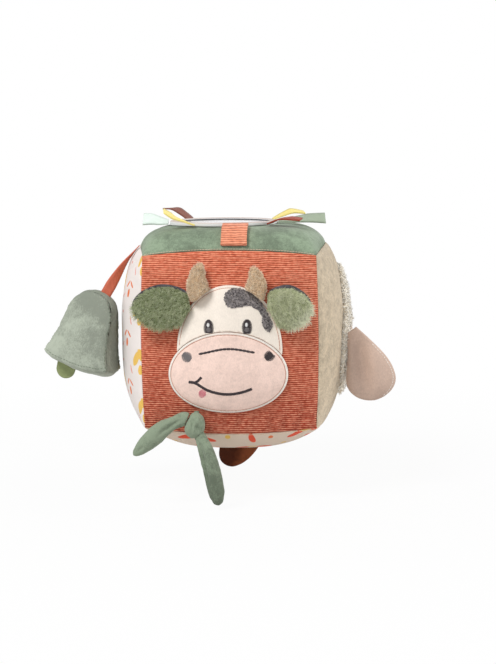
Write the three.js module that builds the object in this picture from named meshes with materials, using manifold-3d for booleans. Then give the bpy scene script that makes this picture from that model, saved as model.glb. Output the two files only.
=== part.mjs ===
// A soft activity block for a baby: six sewn fabric panels round a fibre filling, with a padded cow's head,
// a knotted scarf, a bell on a ribbon, a woolly sheep's head, a mirror with ribbon tags, and a tail tab.
// Lengths are in millimetres, +Z is up, and the origin is the middle of the flat spot the block stands on.
// The front panel faces -Y, and left and right are as seen from the front.
// A place on a piece is given in shares of that piece's own half sizes or length.

import * as THREE from "three";
import { mergeVertices } from "three/addons/utils/BufferGeometryUtils.js";
import Module from "manifold-3d";

const wasm = await Module();
wasm.setup();

// Driving sizes of the block
const cornerHalf = 47.5; // half of the straight distance between two neighbouring corners
const edgeBow = 3; // how far the middle of a level seam bows out past its corners
const uprightBow = 1.2; // and that of an upright seam
const crowns = { front: 9, back: 12, left: 15.6, right: 15, top: 14, bottom: 16.5 };
const crownPowers = { front: 2.4, back: 2.4, left: 3.2, right: 2.8, top: 8, bottom: 3 };
const shoulderOut = { left: 2.4, right: 1.6 }; // how far the filling squeezes the upper side seams out
const shoulderUp = { left: 0.6, right: 0.8 }; // and up
const shoulder = { from: 32, to: 50, height: 48, reach: 26, depth: 46 };
const standDepth = 0.5; // how deep the flat spot under the block is pressed in
const cloth = 1.4; // thickness of a panel
const gap = 0.3; // air between two pieces that lie against each other
const fillGap = 0.7; // air between a panel and the filling
const seamGap = 0.22; // how far each panel stops short of its seam
const sewClearance = 0.6; // air round the root of a limb that is sewn on
const overrun = 5; // how far a cutting tool runs past what it cuts
const panelSteps = 12;

// Padded pieces on the front panel: the cow's head and her muzzle
const head = { x: 0.4, y: -3, halfWidth: 28.4, halfHeight: 34.8, lowerShare: 0.57, thickness: 6.5 };
const muzzle = {
  x: -0.5,
  y: -15.2,
  halfWidth: 32.3,
  halfHeight: 22.3,
  droopShare: 0.06,
  thickness: 8.5,
};
const padRim = 0.9; // height of a pad at its sewn edge
const padColumns = 28;
const stitch = 0.5; // how proud embroidery stands
const threadHalf = 0.55; // half the width of a line of stitches
const border = { inset: 0.7, width: 1.6 };
const patch = { halfWidth: 13.3, halfHeight: 12 };
const eye = { halfWidth: 2.8, halfHeight: 4.4 };
const nostril = { halfWidth: 2.9, halfHeight: 2.9 };
const tongue = { halfWidth: 1.9, halfHeight: 2.7, turnDegrees: -26 };
const horn = { halfWidth: 5.4, depth: 3.6, lift: 4.4, tipLift: 5.6 };
const hornLengths = { left: 19, right: 18 };
const ear = { halfWidth: 12.8, plushDepth: 3.2, backDepth: 1.8, backPeek: 0.8, lift: 12 };
const earLengths = { left: 32.7, right: 26 };

// The scarf under the muzzle
const knot = { halfWidth: 5.3, halfHeight: 7, halfDepth: 5.4, lift: 6.4, neckHalf: 2.8, chinLift: 2.2 };
const scarfDepth = 4;
const scarfEnds = {
  left: { halfWidth: 5, length: 38 },
  right: { halfWidth: 5, length: 45 },
};

// The bell and its ribbon
const ribbonThickness = 0.9;
const bellRibbon = { width: 6, forward: 20, rootClear: 0.5, bow: 1.3 };
const bell = {
  height: 40,
  halfWidth: 19.9,
  rimHalfDepth: 13,
  topHalfDepth: 5.4,
  crown: 2.2,
  sideBulge: 1,
  bottomBulge: 3.2,
  drop: 26.2,
  forward: 5,
  sideClear: 0.4,
  hangRight: 4.5,
  hangFall: 0.4,
  tiltDegrees: 16.5,
  turnDegrees: -18,
};
const bellColumns = 26;
const clapper = { radius: 5.8, thickness: 1.6, below: 1.2 };

// The sheep's head on the right panel
const wool = {
  x: 0,
  y: 1.8,
  halfWidth: 32,
  halfHeight: 36.2,
  taperShare: 0.7,
  thickness: 4.4,
  scallop: 1.3,
};
const sheepFace = { x: 0, y: -9, halfWidth: 15, halfHeight: 17, thickness: 4.8 };
const woolRim = 2;
const sheepEar = { halfWidth: 13.8, length: 38, depth: 2.6, lift: 6.8, backDrop: 6 };

// The mirror, its ring and what is sewn in round it
const mirror = { x: -5.7, radius: 27.6, thickness: 0.9 };
const ring = { outer: 30.4, lip: 1.6, height: 2.1, bevel: 0.45 };
const ringColumns = 36;
const tag = { width: 8.6, rootClear: 0.5, below: 1.2 };
const pullTab = { x: 2.8, width: 13.6, length: 19.4, thickness: 2, lift: 1.7, tipLift: 2.4 };

// The tail tab in the bottom seam at the back
const tail = { x: 7, halfWidth: 12, length: 37, thickness: 1, rootClear: 0.5 };

// Cloth and other materials: colour, roughness and metalness
const finish = (color, roughness, metalness = 0) =>
  new THREE.MeshStandardMaterial({ color, roughness, metalness });
const materials = {
  corduroy: finish("#cf6347", 0.95),
  sageVelour: finish("#7f9a84", 0.9),
  beigeVelour: finish("#d6c8ae", 0.95),
  printCotton: finish("#efe9e2", 0.9),
  whiteVelour: finish("#efeae0", 0.9),
  pinkVelour: finish("#e6c3b4", 0.9),
  blushVelour: finish("#d9bfb2", 0.9),
  charcoalVelour: finish("#57565a", 0.95),
  greenPlush: finish("#7d9a72", 1),
  whiteWool: finish("#e8e6da", 1),
  hornVelour: finish("#bfa888", 0.95),
  creamThread: finish("#f1e4d2", 0.6),
  darkThread: finish("#3a3236", 0.6),
  pinkThread: finish("#c9747c", 0.6),
  terracottaRibbon: finish("#b9573a", 0.7),
  brownRibbon: finish("#6a3a2c", 0.7),
  yellowRibbon: finish("#ecca62", 0.7),
  sageRibbon: finish("#9fb096", 0.7),
  mintRibbon: finish("#dbe8dc", 0.7),
  oliveFelt: finish("#8a9b68", 0.95),
  brownSuede: finish("#5a2c18", 0.85),
  mirrorFilm: finish("#dfe4ea", 0.08, 1),
  fibre: finish("#f2f0ea", 1),
};

// Moves every vertex of a geometry.
function reshape(geometry, move) {
  const position = geometry.getAttribute("position");
  const point = new THREE.Vector3();
  for (let i = 0; i < position.count; i += 1) {
    point.fromBufferAttribute(position, i);
    const moved = move(point);
    position.setXYZ(i, moved.x, moved.y, moved.z);
  }
  geometry.computeVertexNormals();
  return geometry;
}

// A closed skin of rows and columns. The first and last row shrink to a point, and the columns run
// anticlockwise as seen from the first row.
function closedSkin(columns, rows, pointAt) {
  const geometry = new THREE.SphereGeometry(1, columns, rows - 1);
  const position = geometry.getAttribute("position");
  for (let row = 0; row < rows; row += 1) {
    for (let column = 0; column <= columns; column += 1) {
      const p = pointAt(row, column % columns);
      position.setXYZ(row * (columns + 1) + column, p.x, p.y, p.z);
    }
  }
  geometry.computeVertexNormals();
  return geometry;
}

// A closed ring: a section of several points carried round a loop, from outside over the front to the inside.
function closedBand(columns, sectionPoints, pointAt) {
  const geometry = new THREE.TorusGeometry(1, 1, sectionPoints, columns);
  const position = geometry.getAttribute("position");
  for (let j = 0; j <= sectionPoints; j += 1) {
    for (let column = 0; column <= columns; column += 1) {
      const p = pointAt(j % sectionPoints, column % columns);
      position.setXYZ(j * (columns + 1) + column, p.x, p.y, p.z);
    }
  }
  geometry.computeVertexNormals();
  return geometry;
}

// Solids, for cutting and joining
function toSolid(geometry) {
  const bare = geometry.clone();
  bare.deleteAttribute("normal");
  bare.deleteAttribute("uv");
  const merged = mergeVertices(bare);
  return new wasm.Manifold(
    new wasm.Mesh({
      numProp: 3,
      vertProperties: merged.getAttribute("position").array,
      triVerts: new Uint32Array(merged.index.array),
    }),
  );
}

function toGeometry(solid) {
  const mesh = solid.getMesh();
  const geometry = new THREE.BufferGeometry();
  geometry.setAttribute("position", new THREE.BufferAttribute(mesh.vertProperties, 3));
  geometry.setIndex(new THREE.BufferAttribute(mesh.triVerts, 1));
  geometry.computeVertexNormals();
  return geometry;
}

const cut = (geometry, ...tools) =>
  toGeometry(tools.reduce((solid, tool) => solid.subtract(toSolid(tool)), toSolid(geometry)));
const common = (geometry, tool) => toGeometry(toSolid(geometry).intersect(toSolid(tool)));
const joined = (...parts) => toGeometry(parts.map(toSolid).reduce((a, b) => a.add(b)));

// The block and its six faces. In a face's own frame x runs right, y runs up and z points out of the block.
const centreHeight = cornerHalf + crowns.bottom - standDepth;
const block = new THREE.Group();
block.position.z = centreHeight;

function faceGroup(right, up, out) {
  const group = new THREE.Group();
  group.quaternion.setFromRotationMatrix(
    new THREE.Matrix4().makeBasis(
      new THREE.Vector3(...right),
      new THREE.Vector3(...up),
      new THREE.Vector3(...out),
    ),
  );
  block.add(group);
  return group;
}

const faces = {
  front: faceGroup([1, 0, 0], [0, 0, 1], [0, -1, 0]),
  back: faceGroup([-1, 0, 0], [0, 0, 1], [0, 1, 0]),
  left: faceGroup([0, -1, 0], [0, 0, 1], [-1, 0, 0]),
  right: faceGroup([0, 1, 0], [0, 0, 1], [1, 0, 0]),
  top: faceGroup([1, 0, 0], [0, 1, 0], [0, 0, 1]),
  bottom: faceGroup([1, 0, 0], [0, -1, 0], [0, 0, -1]),
};

// The filling squeezes the block's shoulders out: a point there moves sideways and up. The move dies away
// towards the corners, the middle of the top and the middle of the height.
const fade = (share) => Math.cos((Math.min(1, Math.abs(share)) * Math.PI) / 2) ** 2;
function squeezed(p) {
  const side = p.x < 0 ? "left" : "right";
  const weight =
    THREE.MathUtils.smoothstep(Math.abs(p.x), shoulder.from, shoulder.to) *
    fade((p.z - shoulder.height) / shoulder.reach) *
    fade(p.y / shoulder.depth);
  p.x += Math.sign(p.x) * shoulderOut[side] * weight;
  p.z += shoulderUp[side] * weight;
  return p;
}

// A piece of the block, squeezed with it, or a piece with a frame of its own.
function piece(name, geometry, material, parent) {
  if (parent === block || parent.parent === block) {
    const back = parent.quaternion.clone().invert();
    reshape(geometry, (p) => squeezed(p.applyQuaternion(parent.quaternion)).applyQuaternion(back));
  }
  const mesh = new THREE.Mesh(geometry, material);
  mesh.name = name;
  parent.add(mesh);
}

// How full a face is at u and v, which run from -1 to 1 between its seams: 1 in the middle, 0 at a seam.
const fullness = (side, u, v) =>
  (1 - Math.abs(u) ** crownPowers[side]) * (1 - Math.abs(v) ** crownPowers[side]);

// The bow of the seams to the left and right of a face. Those above and below it are always level.
const sideBow = (side) => (side === "top" || side === "bottom" ? edgeBow : uprightBow);

// How far the bows of its four seams carry a face out.
const seamRise = (side, u, v) => edgeBow * (1 - u * u) + sideBow(side) * u * u * (1 - v * v);

// How far out a face lies, for a block whose corners are half from its middle.
function heightOut(side, u, v, half) {
  const out = half + seamRise(side, u, v) + (crowns[side] - edgeBow) * fullness(side, u, v);
  return side === "bottom" ? Math.min(out, half + crowns.bottom - standDepth) : out;
}

// A point of a face, inset under the outside of the block. Neighbouring faces share their seams exactly.
function facePoint(side, u, v, inset) {
  const half = cornerHalf - inset;
  return new THREE.Vector3(
    u * (half + sideBow(side) * (1 - v * v)),
    v * (half + edgeBow * (1 - u * u)),
    heightOut(side, u, v, half),
  );
}

// How far out the surface of a face lies at x right and y up from its middle.
const solveSteps = 6;
function surfaceAt(side, x, y) {
  const inside = (share) => Math.max(-1, Math.min(1, share));
  let u = 0;
  let v = 0;
  for (let step = 0; step < solveSteps; step += 1) {
    const nextU = inside(x / (cornerHalf + sideBow(side) * (1 - v * v)));
    v = inside(y / (cornerHalf + edgeBow * (1 - u * u)));
    u = nextU;
  }
  return heightOut(side, u, v, cornerHalf);
}

const onFace = (side, x, y, lift) => new THREE.Vector3(x, y, surfaceAt(side, x, y) + lift);

// Even steps from -1 to 1, drawn together towards both ends, where a crowned face bends most.
const spread = (share) => Math.sin((share * Math.PI) / 2);

// The six panels: each a crowned sheet of cloth that stops just short of its seams
const seamStopShare = 1 - seamGap / cornerHalf;

function panelShape(side) {
  const sheet = new THREE.BoxGeometry(2, 2, 2, panelSteps, panelSteps, 1);
  return reshape(sheet, (p) => {
    const inset = p.z > 0 ? 0 : cloth;
    return facePoint(side, spread(p.x) * seamStopShare, spread(p.y) * seamStopShare, inset);
  });
}

const panelCloths = {
  front: materials.corduroy,
  back: materials.sageVelour,
  left: materials.printCotton,
  right: materials.beigeVelour,
  top: materials.sageVelour,
  bottom: materials.printCotton,
};
Object.entries(panelCloths).forEach(([side, material]) =>
  piece(`${side}_panel`, panelShape(side), material, faces[side]),
);

// The fibre filling follows the inside of all six panels.
function fillingShape() {
  const half = cornerHalf - cloth - fillGap;
  const sides = { x: ["left", "right"], y: ["front", "back"], z: ["bottom", "top"] };
  const others = { x: ["y", "z"], y: ["x", "z"], z: ["x", "y"] };
  const box = new THREE.BoxGeometry(2, 2, 2, panelSteps, panelSteps, panelSteps);
  return reshape(box, (p) => {
    const moved = new THREE.Vector3();
    Object.keys(sides).forEach((axis) => {
      const [u, v] = others[axis].map((other) => spread(p[other]));
      const onSide = Math.abs(p[axis]) === 1;
      const side = sides[axis][p[axis] > 0 ? 1 : 0];
      const out = half + seamRise(side, u, v);
      moved[axis] = onSide ? p[axis] * heightOut(side, u, v, half) : spread(p[axis]) * out;
    });
    return moved;
  });
}
piece("filling", fillingShape(), materials.fibre, block);

// Outlines are lists of points, anticlockwise, round a middle of their own.
function ovalOutline({ halfWidth, halfHeight, lowerShare = 1, droopShare = 0, taperShare = 0 }, columns) {
  return Array.from({ length: columns }, (_, i) => {
    const angle = (2 * Math.PI * i) / columns;
    const up = Math.sin(angle) - droopShare * Math.cos(angle) ** 2;
    const side = up > 0 ? 1 : lowerShare;
    const narrowing = (taperShare * (1 + up)) / 2;
    return new THREE.Vector2(halfWidth * Math.cos(angle) * (1 - narrowing), halfHeight * side * up);
  });
}

function smoothOutline(shares, { halfWidth, halfHeight }, columns) {
  const corners = shares.map(([x, y]) => new THREE.Vector3(x * halfWidth, y * halfHeight, 0));
  const curve = new THREE.CatmullRomCurve3(corners, true, "centripetal");
  return curve.getSpacedPoints(columns).slice(0, columns).map((p) => new THREE.Vector2(p.x, p.y));
}

const grown = (outline, by) => outline.map((p) => p.clone().setLength(p.length() + by));

// The place on a pad that lies at some shares of its half width and half height.
const spot = (pad, [xShare, yShare]) =>
  new THREE.Vector2(pad.x + xShare * pad.halfWidth, pad.y + yShare * pad.halfHeight);
const spots = (pad, shares) => shares.map((pair) => spot(pad, pair));

// A padded piece of any outline: its rows run from the middle of its front to its rim, and back over its
// underside to the middle. Each row has a share of the outline and a height.
function quilt(outline, centre, rows) {
  return closedSkin(outline.length, rows.length, (row, column) => {
    const { share, height } = rows[row];
    const x = centre.x + outline[column].x * share;
    const y = centre.y + outline[column].y * share;
    return new THREE.Vector3(x, y, height(x, y, share));
  });
}

const frontShares = [0, 0.3, 0.55, 0.75, 0.9, 0.98, 1];
const backShares = [1, 0.7, 0.35, 0];
const dome = (share) => Math.sqrt(Math.max(0, 1 - share * share));

// The puffed front of a pad that is sewn flat to a face.
const puff = (side, { thickness }, rim) => (x, y, share) =>
  surfaceAt(side, x, y) + gap + rim + (thickness - rim) * dome(share);

function pad(side, size, outline, rim) {
  const bed = (x, y) => surfaceAt(side, x, y) + gap;
  return quilt(outline, size, [
    ...frontShares.map((share) => ({ share, height: puff(side, size, rim) })),
    ...backShares.map((share) => ({ share, height: bed })),
  ]);
}

// What keeps a limb clear of the pad it is sewn to: the pad grown all round, and down through its face.
function padCutter(side, size, outline, rim, lift) {
  const front = puff(side, size, rim);
  const below = (x, y) => surfaceAt(side, x, y) - overrun;
  return quilt(grown(outline, sewClearance), size, [
    ...frontShares.map((share) => ({ share, height: (x, y, s) => front(x, y, s) + lift })),
    ...backShares.map((share) => ({ share, height: below })),
  ]);
}

// A layer of thread over the front of a pad, to be cut to the shape of a patch or a line of stitches.
function threadLayer(side, size, outline, rim) {
  const front = puff(side, size, rim);
  const shares = frontShares.slice(0, -1);
  return quilt(outline, size, [
    ...shares.map((share) => ({ share, height: (x, y, s) => front(x, y, s) + gap + stitch })),
    ...[...shares].reverse().map((share) => ({ share, height: (x, y, s) => front(x, y, s) + gap })),
  ]);
}

// A prism that stands through a face over an outline, or between two outlines.
const prismReach = 2 * cornerHalf;
function prism(outline, centre, hole = []) {
  const moved = (points) => points.map((p) => new THREE.Vector2(p.x + centre.x, p.y + centre.y));
  const shape = new THREE.Shape(moved(outline));
  if (hole.length) shape.holes.push(new THREE.Path(moved(hole)));
  return new THREE.ExtrudeGeometry(shape, { depth: prismReach, bevelEnabled: false });
}

// The prism of a line of stitches along a smooth curve through some points.
function threadPrism(points, halfWidth, steps) {
  const curve = new THREE.CatmullRomCurve3(points.map((p) => new THREE.Vector3(p.x, p.y, 0)));
  const sides = [[], []];
  for (let i = 0; i <= steps; i += 1) {
    const p = curve.getPoint(i / steps);
    const along = curve.getTangent(i / steps);
    sides[0].push(new THREE.Vector2(p.x + along.y * halfWidth, p.y - along.x * halfWidth));
    sides[1].push(new THREE.Vector2(p.x - along.y * halfWidth, p.y + along.x * halfWidth));
  }
  return prism([...sides[0], ...sides[1].reverse()], { x: 0, y: 0 });
}

// The cow's head: a white pad whose lower half gives way to the muzzle pad
const headOutline = ovalOutline(head, padColumns);
const muzzleOutline = ovalOutline(muzzle, padColumns);
const muzzleCutter = prism(grown(muzzleOutline, gap), muzzle);
piece(
  "cow_head_pad",
  cut(pad("front", head, headOutline, padRim), muzzleCutter),
  materials.whiteVelour,
  faces.front,
);
piece("cow_muzzle_pad", pad("front", muzzle, muzzleOutline, padRim), materials.pinkVelour, faces.front);

// Embroidery on the head and the muzzle
const headThread = threadLayer("front", head, headOutline, padRim);
const muzzleThread = threadLayer("front", muzzle, muzzleOutline, padRim);

const borderPrism = (margin) =>
  prism(
    grown(muzzleOutline, margin - border.inset),
    muzzle,
    grown(muzzleOutline, -border.inset - border.width - margin),
  );
piece("cow_muzzle_border", common(muzzleThread, borderPrism(0)), materials.creamThread, faces.front);

const patchPlaceShares = [0.373, 0.621];
const patchOutlineShares = [
  [-1, 0.6], [-0.82, 0.14], [-0.4, 0.14], [0.1, 0.18], [0.5, -0.2], [0.57, -0.8],
  [0.78, -0.99], [0.97, -0.72], [0.77, -0.17], [0.42, 0.45], [-0.1, 0.88], [-0.68, 0.98],
];
const patchColumns = 30;
const patchOutline = smoothOutline(patchOutlineShares, patch, patchColumns);
piece(
  "cow_patch",
  common(headThread, prism(patchOutline, spot(head, patchPlaceShares))),
  materials.charcoalVelour,
  faces.front,
);

const dotColumns = 14;
const eyeOutline = ovalOutline(eye, dotColumns);
const eyePlaceShares = { left: [-0.38, 0.356], right: [0.342, 0.362] };
Object.entries(eyePlaceShares).forEach(([side, shares]) =>
  piece(
    `cow_${side}_eye`,
    cut(common(headThread, prism(eyeOutline, spot(head, shares))), muzzleCutter),
    materials.darkThread,
    faces.front,
  ),
);

const nostrilOutline = ovalOutline(nostril, dotColumns);
const nostrilPlaceShares = { left: [-0.678, 0.395], right: [0.7, 0.42] };
Object.entries(nostrilPlaceShares).forEach(([side, shares]) =>
  piece(
    `cow_${side}_nostril`,
    cut(common(muzzleThread, prism(nostrilOutline, spot(muzzle, shares))), borderPrism(gap)),
    materials.darkThread,
    faces.front,
  ),
);

const browSteps = 10;
const browShares = [[-0.464, 0.475], [0.015, 0.605], [0.492, 0.502]];
piece(
  "cow_brow_stitch",
  common(muzzleThread, threadPrism(spots(muzzle, browShares), threadHalf, browSteps)),
  materials.darkThread,
  faces.front,
);

const smileSteps = 16;
const smileShares = [
  [-0.647, -0.215], [-0.545, -0.233], [-0.313, -0.422], [-0.015, -0.507], [0.238, -0.457], [0.399, -0.377],
];
const smileCornerSteps = 4;
const smileCornerShares = [[-0.437, -0.09], [-0.486, -0.17], [-0.545, -0.233]];
const smileSpots = spots(muzzle, smileShares);
const smilePrism = joined(
  threadPrism(smileSpots, threadHalf, smileSteps),
  threadPrism(spots(muzzle, smileCornerShares), threadHalf, smileCornerSteps),
);
piece("cow_smile", common(muzzleThread, smilePrism), materials.darkThread, faces.front);

const tonguePlaceShares = [-0.424, -0.493];
const tongueTurn = THREE.MathUtils.degToRad(tongue.turnDegrees);
const tongueOutline = ovalOutline(tongue, dotColumns).map((p) => p.rotateAround({ x: 0, y: 0 }, tongueTurn));
piece(
  "cow_tongue",
  cut(
    common(muzzleThread, prism(tongueOutline, spot(muzzle, tonguePlaceShares))),
    threadPrism(smileSpots, threadHalf + gap, smileSteps),
  ),
  materials.pinkThread,
  faces.front,
);

// A stuffed limb along a curve. Each station gives how far along the curve it lies and its share of the
// half width. The limb is over deep on the side that it faces and under deep on the other.
function softLimb({ path, halfWidth, stationShares, over, under, facing, sides }) {
  const curve = new THREE.CatmullRomCurve3(path, false, "centripetal");
  return closedSkin(sides, stationShares.length, (row, column) => {
    const [along, width] = stationShares[row];
    const tangent = curve.getTangentAt(along);
    const across = new THREE.Vector3().crossVectors(tangent, facing).normalize();
    const outward = new THREE.Vector3().crossVectors(across, tangent);
    const angle = (2 * Math.PI * column) / sides;
    const depth = Math.sin(angle) > 0 ? over : under;
    return curve
      .getPointAt(along)
      .addScaledVector(across, Math.cos(angle) * width * halfWidth)
      .addScaledVector(outward, Math.sin(angle) * width * depth);
  });
}

const outOfFace = new THREE.Vector3(0, 0, 1);
const headCutter = prism(grown(headOutline, gap), head);
const mirrored = { left: -1, right: 1 };

// The horns: short curved cones
const hornPlaceShares = { left: [-0.528, 0.805], right: [0.451, 0.776] };
const hornPathShares = [[0, 0, 0], [0.1, 0.36, 0], [0.09, 0.69, 0], [-0.02, 0.98, 1]];
const hornStationShares = [
  [0, 0], [0, 0.95], [0.2, 1], [0.4, 0.93], [0.58, 0.78], [0.74, 0.6], [0.88, 0.42], [0.97, 0.22], [1, 0],
];
const hornSides = 10;

function hornShape(side) {
  const root = spot(head, hornPlaceShares[side]);
  const path = hornPathShares.map(([out, up, rise]) =>
    onFace(
      "front",
      root.x + mirrored[side] * out * hornLengths[side],
      root.y + up * hornLengths[side],
      THREE.MathUtils.lerp(horn.lift, horn.tipLift, rise),
    ),
  );
  return softLimb({
    path,
    halfWidth: horn.halfWidth,
    stationShares: hornStationShares,
    over: horn.depth,
    under: horn.depth,
    facing: outOfFace,
    sides: hornSides,
  });
}

Object.keys(mirrored).forEach((side) =>
  piece(`${side}_horn`, cut(hornShape(side), headCutter), materials.hornVelour, faces.front),
);

// The cow's ears: a plush front and a velour back, sewn together and tucked in at the side of the head
const earPlaceShares = { left: [-0.701, 0.606], right: [0.673, 0.606] };
const earPathShares = [[0, 0, 0.25], [0.27, 0.052, 0.33], [0.65, 0.064, 0.67], [1, 0.095, 1]];
const earStationShares = [
  [0, 0], [0, 0.62], [0.12, 0.74], [0.27, 0.9], [0.45, 1], [0.62, 0.97], [0.77, 0.82], [0.89, 0.6],
  [0.97, 0.32],
  [1, 0],
];
const earSides = 14;
const hornRoomShares = {
  left: [[-0.745, 0.64], [-0.3, 0.8], [-0.83, 1.12]],
  right: [[0.74, 0.63], [0.78, 1.12], [0.3, 0.8]],
};

function earPath(side, rise, back) {
  const root = spot(head, earPlaceShares[side]);
  return earPathShares.map(([out, up, lift]) =>
    onFace(
      "front",
      root.x + mirrored[side] * out * earLengths[side],
      root.y + up * earLengths[side] + rise,
      lift * ear.lift - back,
    ),
  );
}

Object.keys(mirrored).forEach((side) => {
  const limb = { stationShares: earStationShares, facing: outOfFace, sides: earSides };
  const plush = softLimb({
    ...limb,
    path: earPath(side, 0, 0),
    halfWidth: ear.halfWidth,
    over: ear.plushDepth,
    under: 0,
  });
  const back = softLimb({
    ...limb,
    path: earPath(side, ear.backPeek, gap),
    halfWidth: ear.halfWidth,
    over: 0,
    under: ear.backDepth,
  });
  const hornRoom = prism(spots(head, hornRoomShares[side]), { x: 0, y: 0 });
  piece(`${side}_ear_plush`, cut(plush, headCutter, hornRoom), materials.greenPlush, faces.front);
  piece(`${side}_ear_back`, cut(back, headCutter, hornRoom), materials.charcoalVelour, faces.front);
});

// The scarf: a round knot that hangs from the chin, and two leaf-shaped stuffed ends
const chinPlaceShares = [-0.548, -0.96];
const knotPlaceShares = [-0.56, -1.26];
const chin = spot(muzzle, chinPlaceShares);
const knotSpot = spot(muzzle, knotPlaceShares);
const chinPoint = onFace("front", chin.x, chin.y, knot.chinLift);
const knotPoint = onFace("front", knotSpot.x, knotSpot.y, knot.lift);
const neckStationShares = [[0, 0], [0, 0.6], [0.3, 0.75], [0.6, 1], [1, 1], [1, 0]];
const knotColumns = 14;
const knotRows = 10;
const neckSides = 8;

const knotShape = (clearance) =>
  new THREE.SphereGeometry(1, knotColumns, knotRows)
    .scale(knot.halfWidth + clearance, knot.halfHeight + clearance, knot.halfDepth + clearance)
    .translate(knotPoint.x, knotPoint.y, knotPoint.z);
const neck = softLimb({
  path: [chinPoint, knotPoint],
  halfWidth: knot.neckHalf,
  stationShares: neckStationShares,
  over: knot.neckHalf,
  under: knot.neckHalf,
  facing: outOfFace,
  sides: neckSides,
});
piece("scarf_knot", joined(knotShape(0), neck), materials.sageVelour, faces.front);

const scarfPathShares = {
  left: [
    [0, 0.06, 0], [-0.08, 0.1, 0], [-0.232, 0.055, 0.026], [-0.447, -0.066, 0.03], [-0.684, -0.263, 0.026],
    [-0.892, -0.453, 0],
  ],
  right: [[0, 0, 0], [0.116, -0.282, 0.033], [0.204, -0.571, 0.067], [0.284, -0.964, 0.089]],
};
const scarfStationShares = {
  left: [
    [0, 0], [0, 0.62], [0.15, 0.68], [0.3, 0.8], [0.45, 0.94], [0.6, 1], [0.74, 0.96], [0.86, 0.76],
    [0.95, 0.45], [1, 0],
  ],
  right: [
    [0, 0], [0, 0.5], [0.15, 0.56], [0.3, 0.78], [0.48, 0.96], [0.66, 1], [0.8, 0.95], [0.9, 0.78],
    [0.97, 0.48],
    [1, 0],
  ],
};
const scarfSides = 12;
const knotCutter = knotShape(sewClearance);
Object.entries(scarfEnds).forEach(([side, { halfWidth, length }]) => {
  const shape = softLimb({
    path: scarfPathShares[side].map((shares) =>
      knotPoint.clone().addScaledVector(new THREE.Vector3(...shares), length),
    ),
    halfWidth,
    stationShares: scarfStationShares[side],
    over: scarfDepth,
    under: scarfDepth,
    facing: outOfFace,
    sides: scarfSides,
  });
  piece(`scarf_${side}_end`, cut(shape, knotCutter), materials.sageVelour, faces.front);
});

// A flat strap along a curve. Its width direction can turn on the way.
function strap({ path, width, thickness, acrossAt, steps }) {
  const curve = new THREE.CatmullRomCurve3(path, false, "centripetal");
  return reshape(new THREE.BoxGeometry(1, 1, 1, 1, steps, 1), (p) => {
    const along = Math.min(1, Math.max(0, p.y + 1 / 2));
    const tangent = curve.getTangentAt(along);
    const wanted = acrossAt(along);
    const across = wanted.addScaledVector(tangent, -wanted.dot(tangent)).normalize();
    const outward = new THREE.Vector3().crossVectors(across, tangent);
    return curve
      .getPointAt(along)
      .addScaledVector(across, p.x * width)
      .addScaledVector(outward, p.z * thickness);
  });
}

// The bell's outline, from its hem in the middle of the bottom round to its top, in half widths and heights
const bellSideShares = [
  [0.55, -0.04], [0.93, -0.01], [1, 0.03], [0.9, 0.17], [0.78, 0.38], [0.69, 0.62], [0.6, 0.8], [0.42, 0.94],
  [0.14, 1],
];
const bellOutlineShares = [
  [0, -0.05],
  ...bellSideShares,
  ...[...bellSideShares].reverse().map(([x, y]) => [-x, y]),
];
const bellMiddleShare = 0.4;
const bellMiddle = { x: 0, y: bellMiddleShare * bell.height };
const bellSize = { halfWidth: bell.halfWidth, halfHeight: bell.height };
const bellOutline = smoothOutline(bellOutlineShares, bellSize, bellColumns).map((p) => p.sub(bellMiddle));
const bellHemShares = [-0.05, 0.12];
const heightShare = (y) => y / bell.height;
const bellHalfDepth = (y) =>
  THREE.MathUtils.lerp(bell.rimHalfDepth, bell.topHalfDepth, THREE.MathUtils.clamp(heightShare(y), 0, 1));
const bellBulge = (y) =>
  THREE.MathUtils.lerp(
    bell.bottomBulge,
    bell.sideBulge,
    THREE.MathUtils.smoothstep(heightShare(y), ...bellHemShares),
  );

// The bell stands in a frame of its own: x right, y up its axis and z to its front. It is turned a little
// about its axis, leans outwards, and lies beside the fullest part of the left panel. It hangs from a place
// to the right of its top, where its side has begun to fall.
const bellLean = new THREE.Group();
const bellFrame = new THREE.Group();
const bellTilt = THREE.MathUtils.degToRad(bell.tiltDegrees);
bellLean.rotation.y = bellTilt;
bellFrame.rotation.set(Math.PI / 2, THREE.MathUtils.degToRad(bell.turnDegrees), 0, "ZXY");
bellFrame.position
  .set(-bell.hangRight, 0, 0)
  .applyQuaternion(bellFrame.quaternion)
  .addScaledVector(new THREE.Vector3(0, 0, 1), bell.hangFall - bell.height - bell.sideBulge - gap);
bellLean.add(bellFrame);
block.add(bellLean);
bellLean.updateMatrixWorld(true);
const bellReach = Math.max(
  ...bellOutline.flatMap((p) =>
    [-1, 0, 1].map((side) => {
      const y = bellMiddle.y + p.y;
      const out = p.clone().setLength(p.length() + bellBulge(y) * (1 - side * side)).add(bellMiddle);
      return new THREE.Vector3(out.x, out.y, side * bellHalfDepth(y)).applyMatrix4(bellFrame.matrixWorld).x;
    }),
  ),
);
const seamOut = cornerHalf + edgeBow * (1 - (bellRibbon.forward / cornerHalf) ** 2) + bellRibbon.rootClear;
bellLean.position.set(
  -cornerHalf - crowns.left - bell.sideClear - bellReach,
  -bellRibbon.forward - bell.forward,
  seamOut - bell.drop,
);

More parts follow.
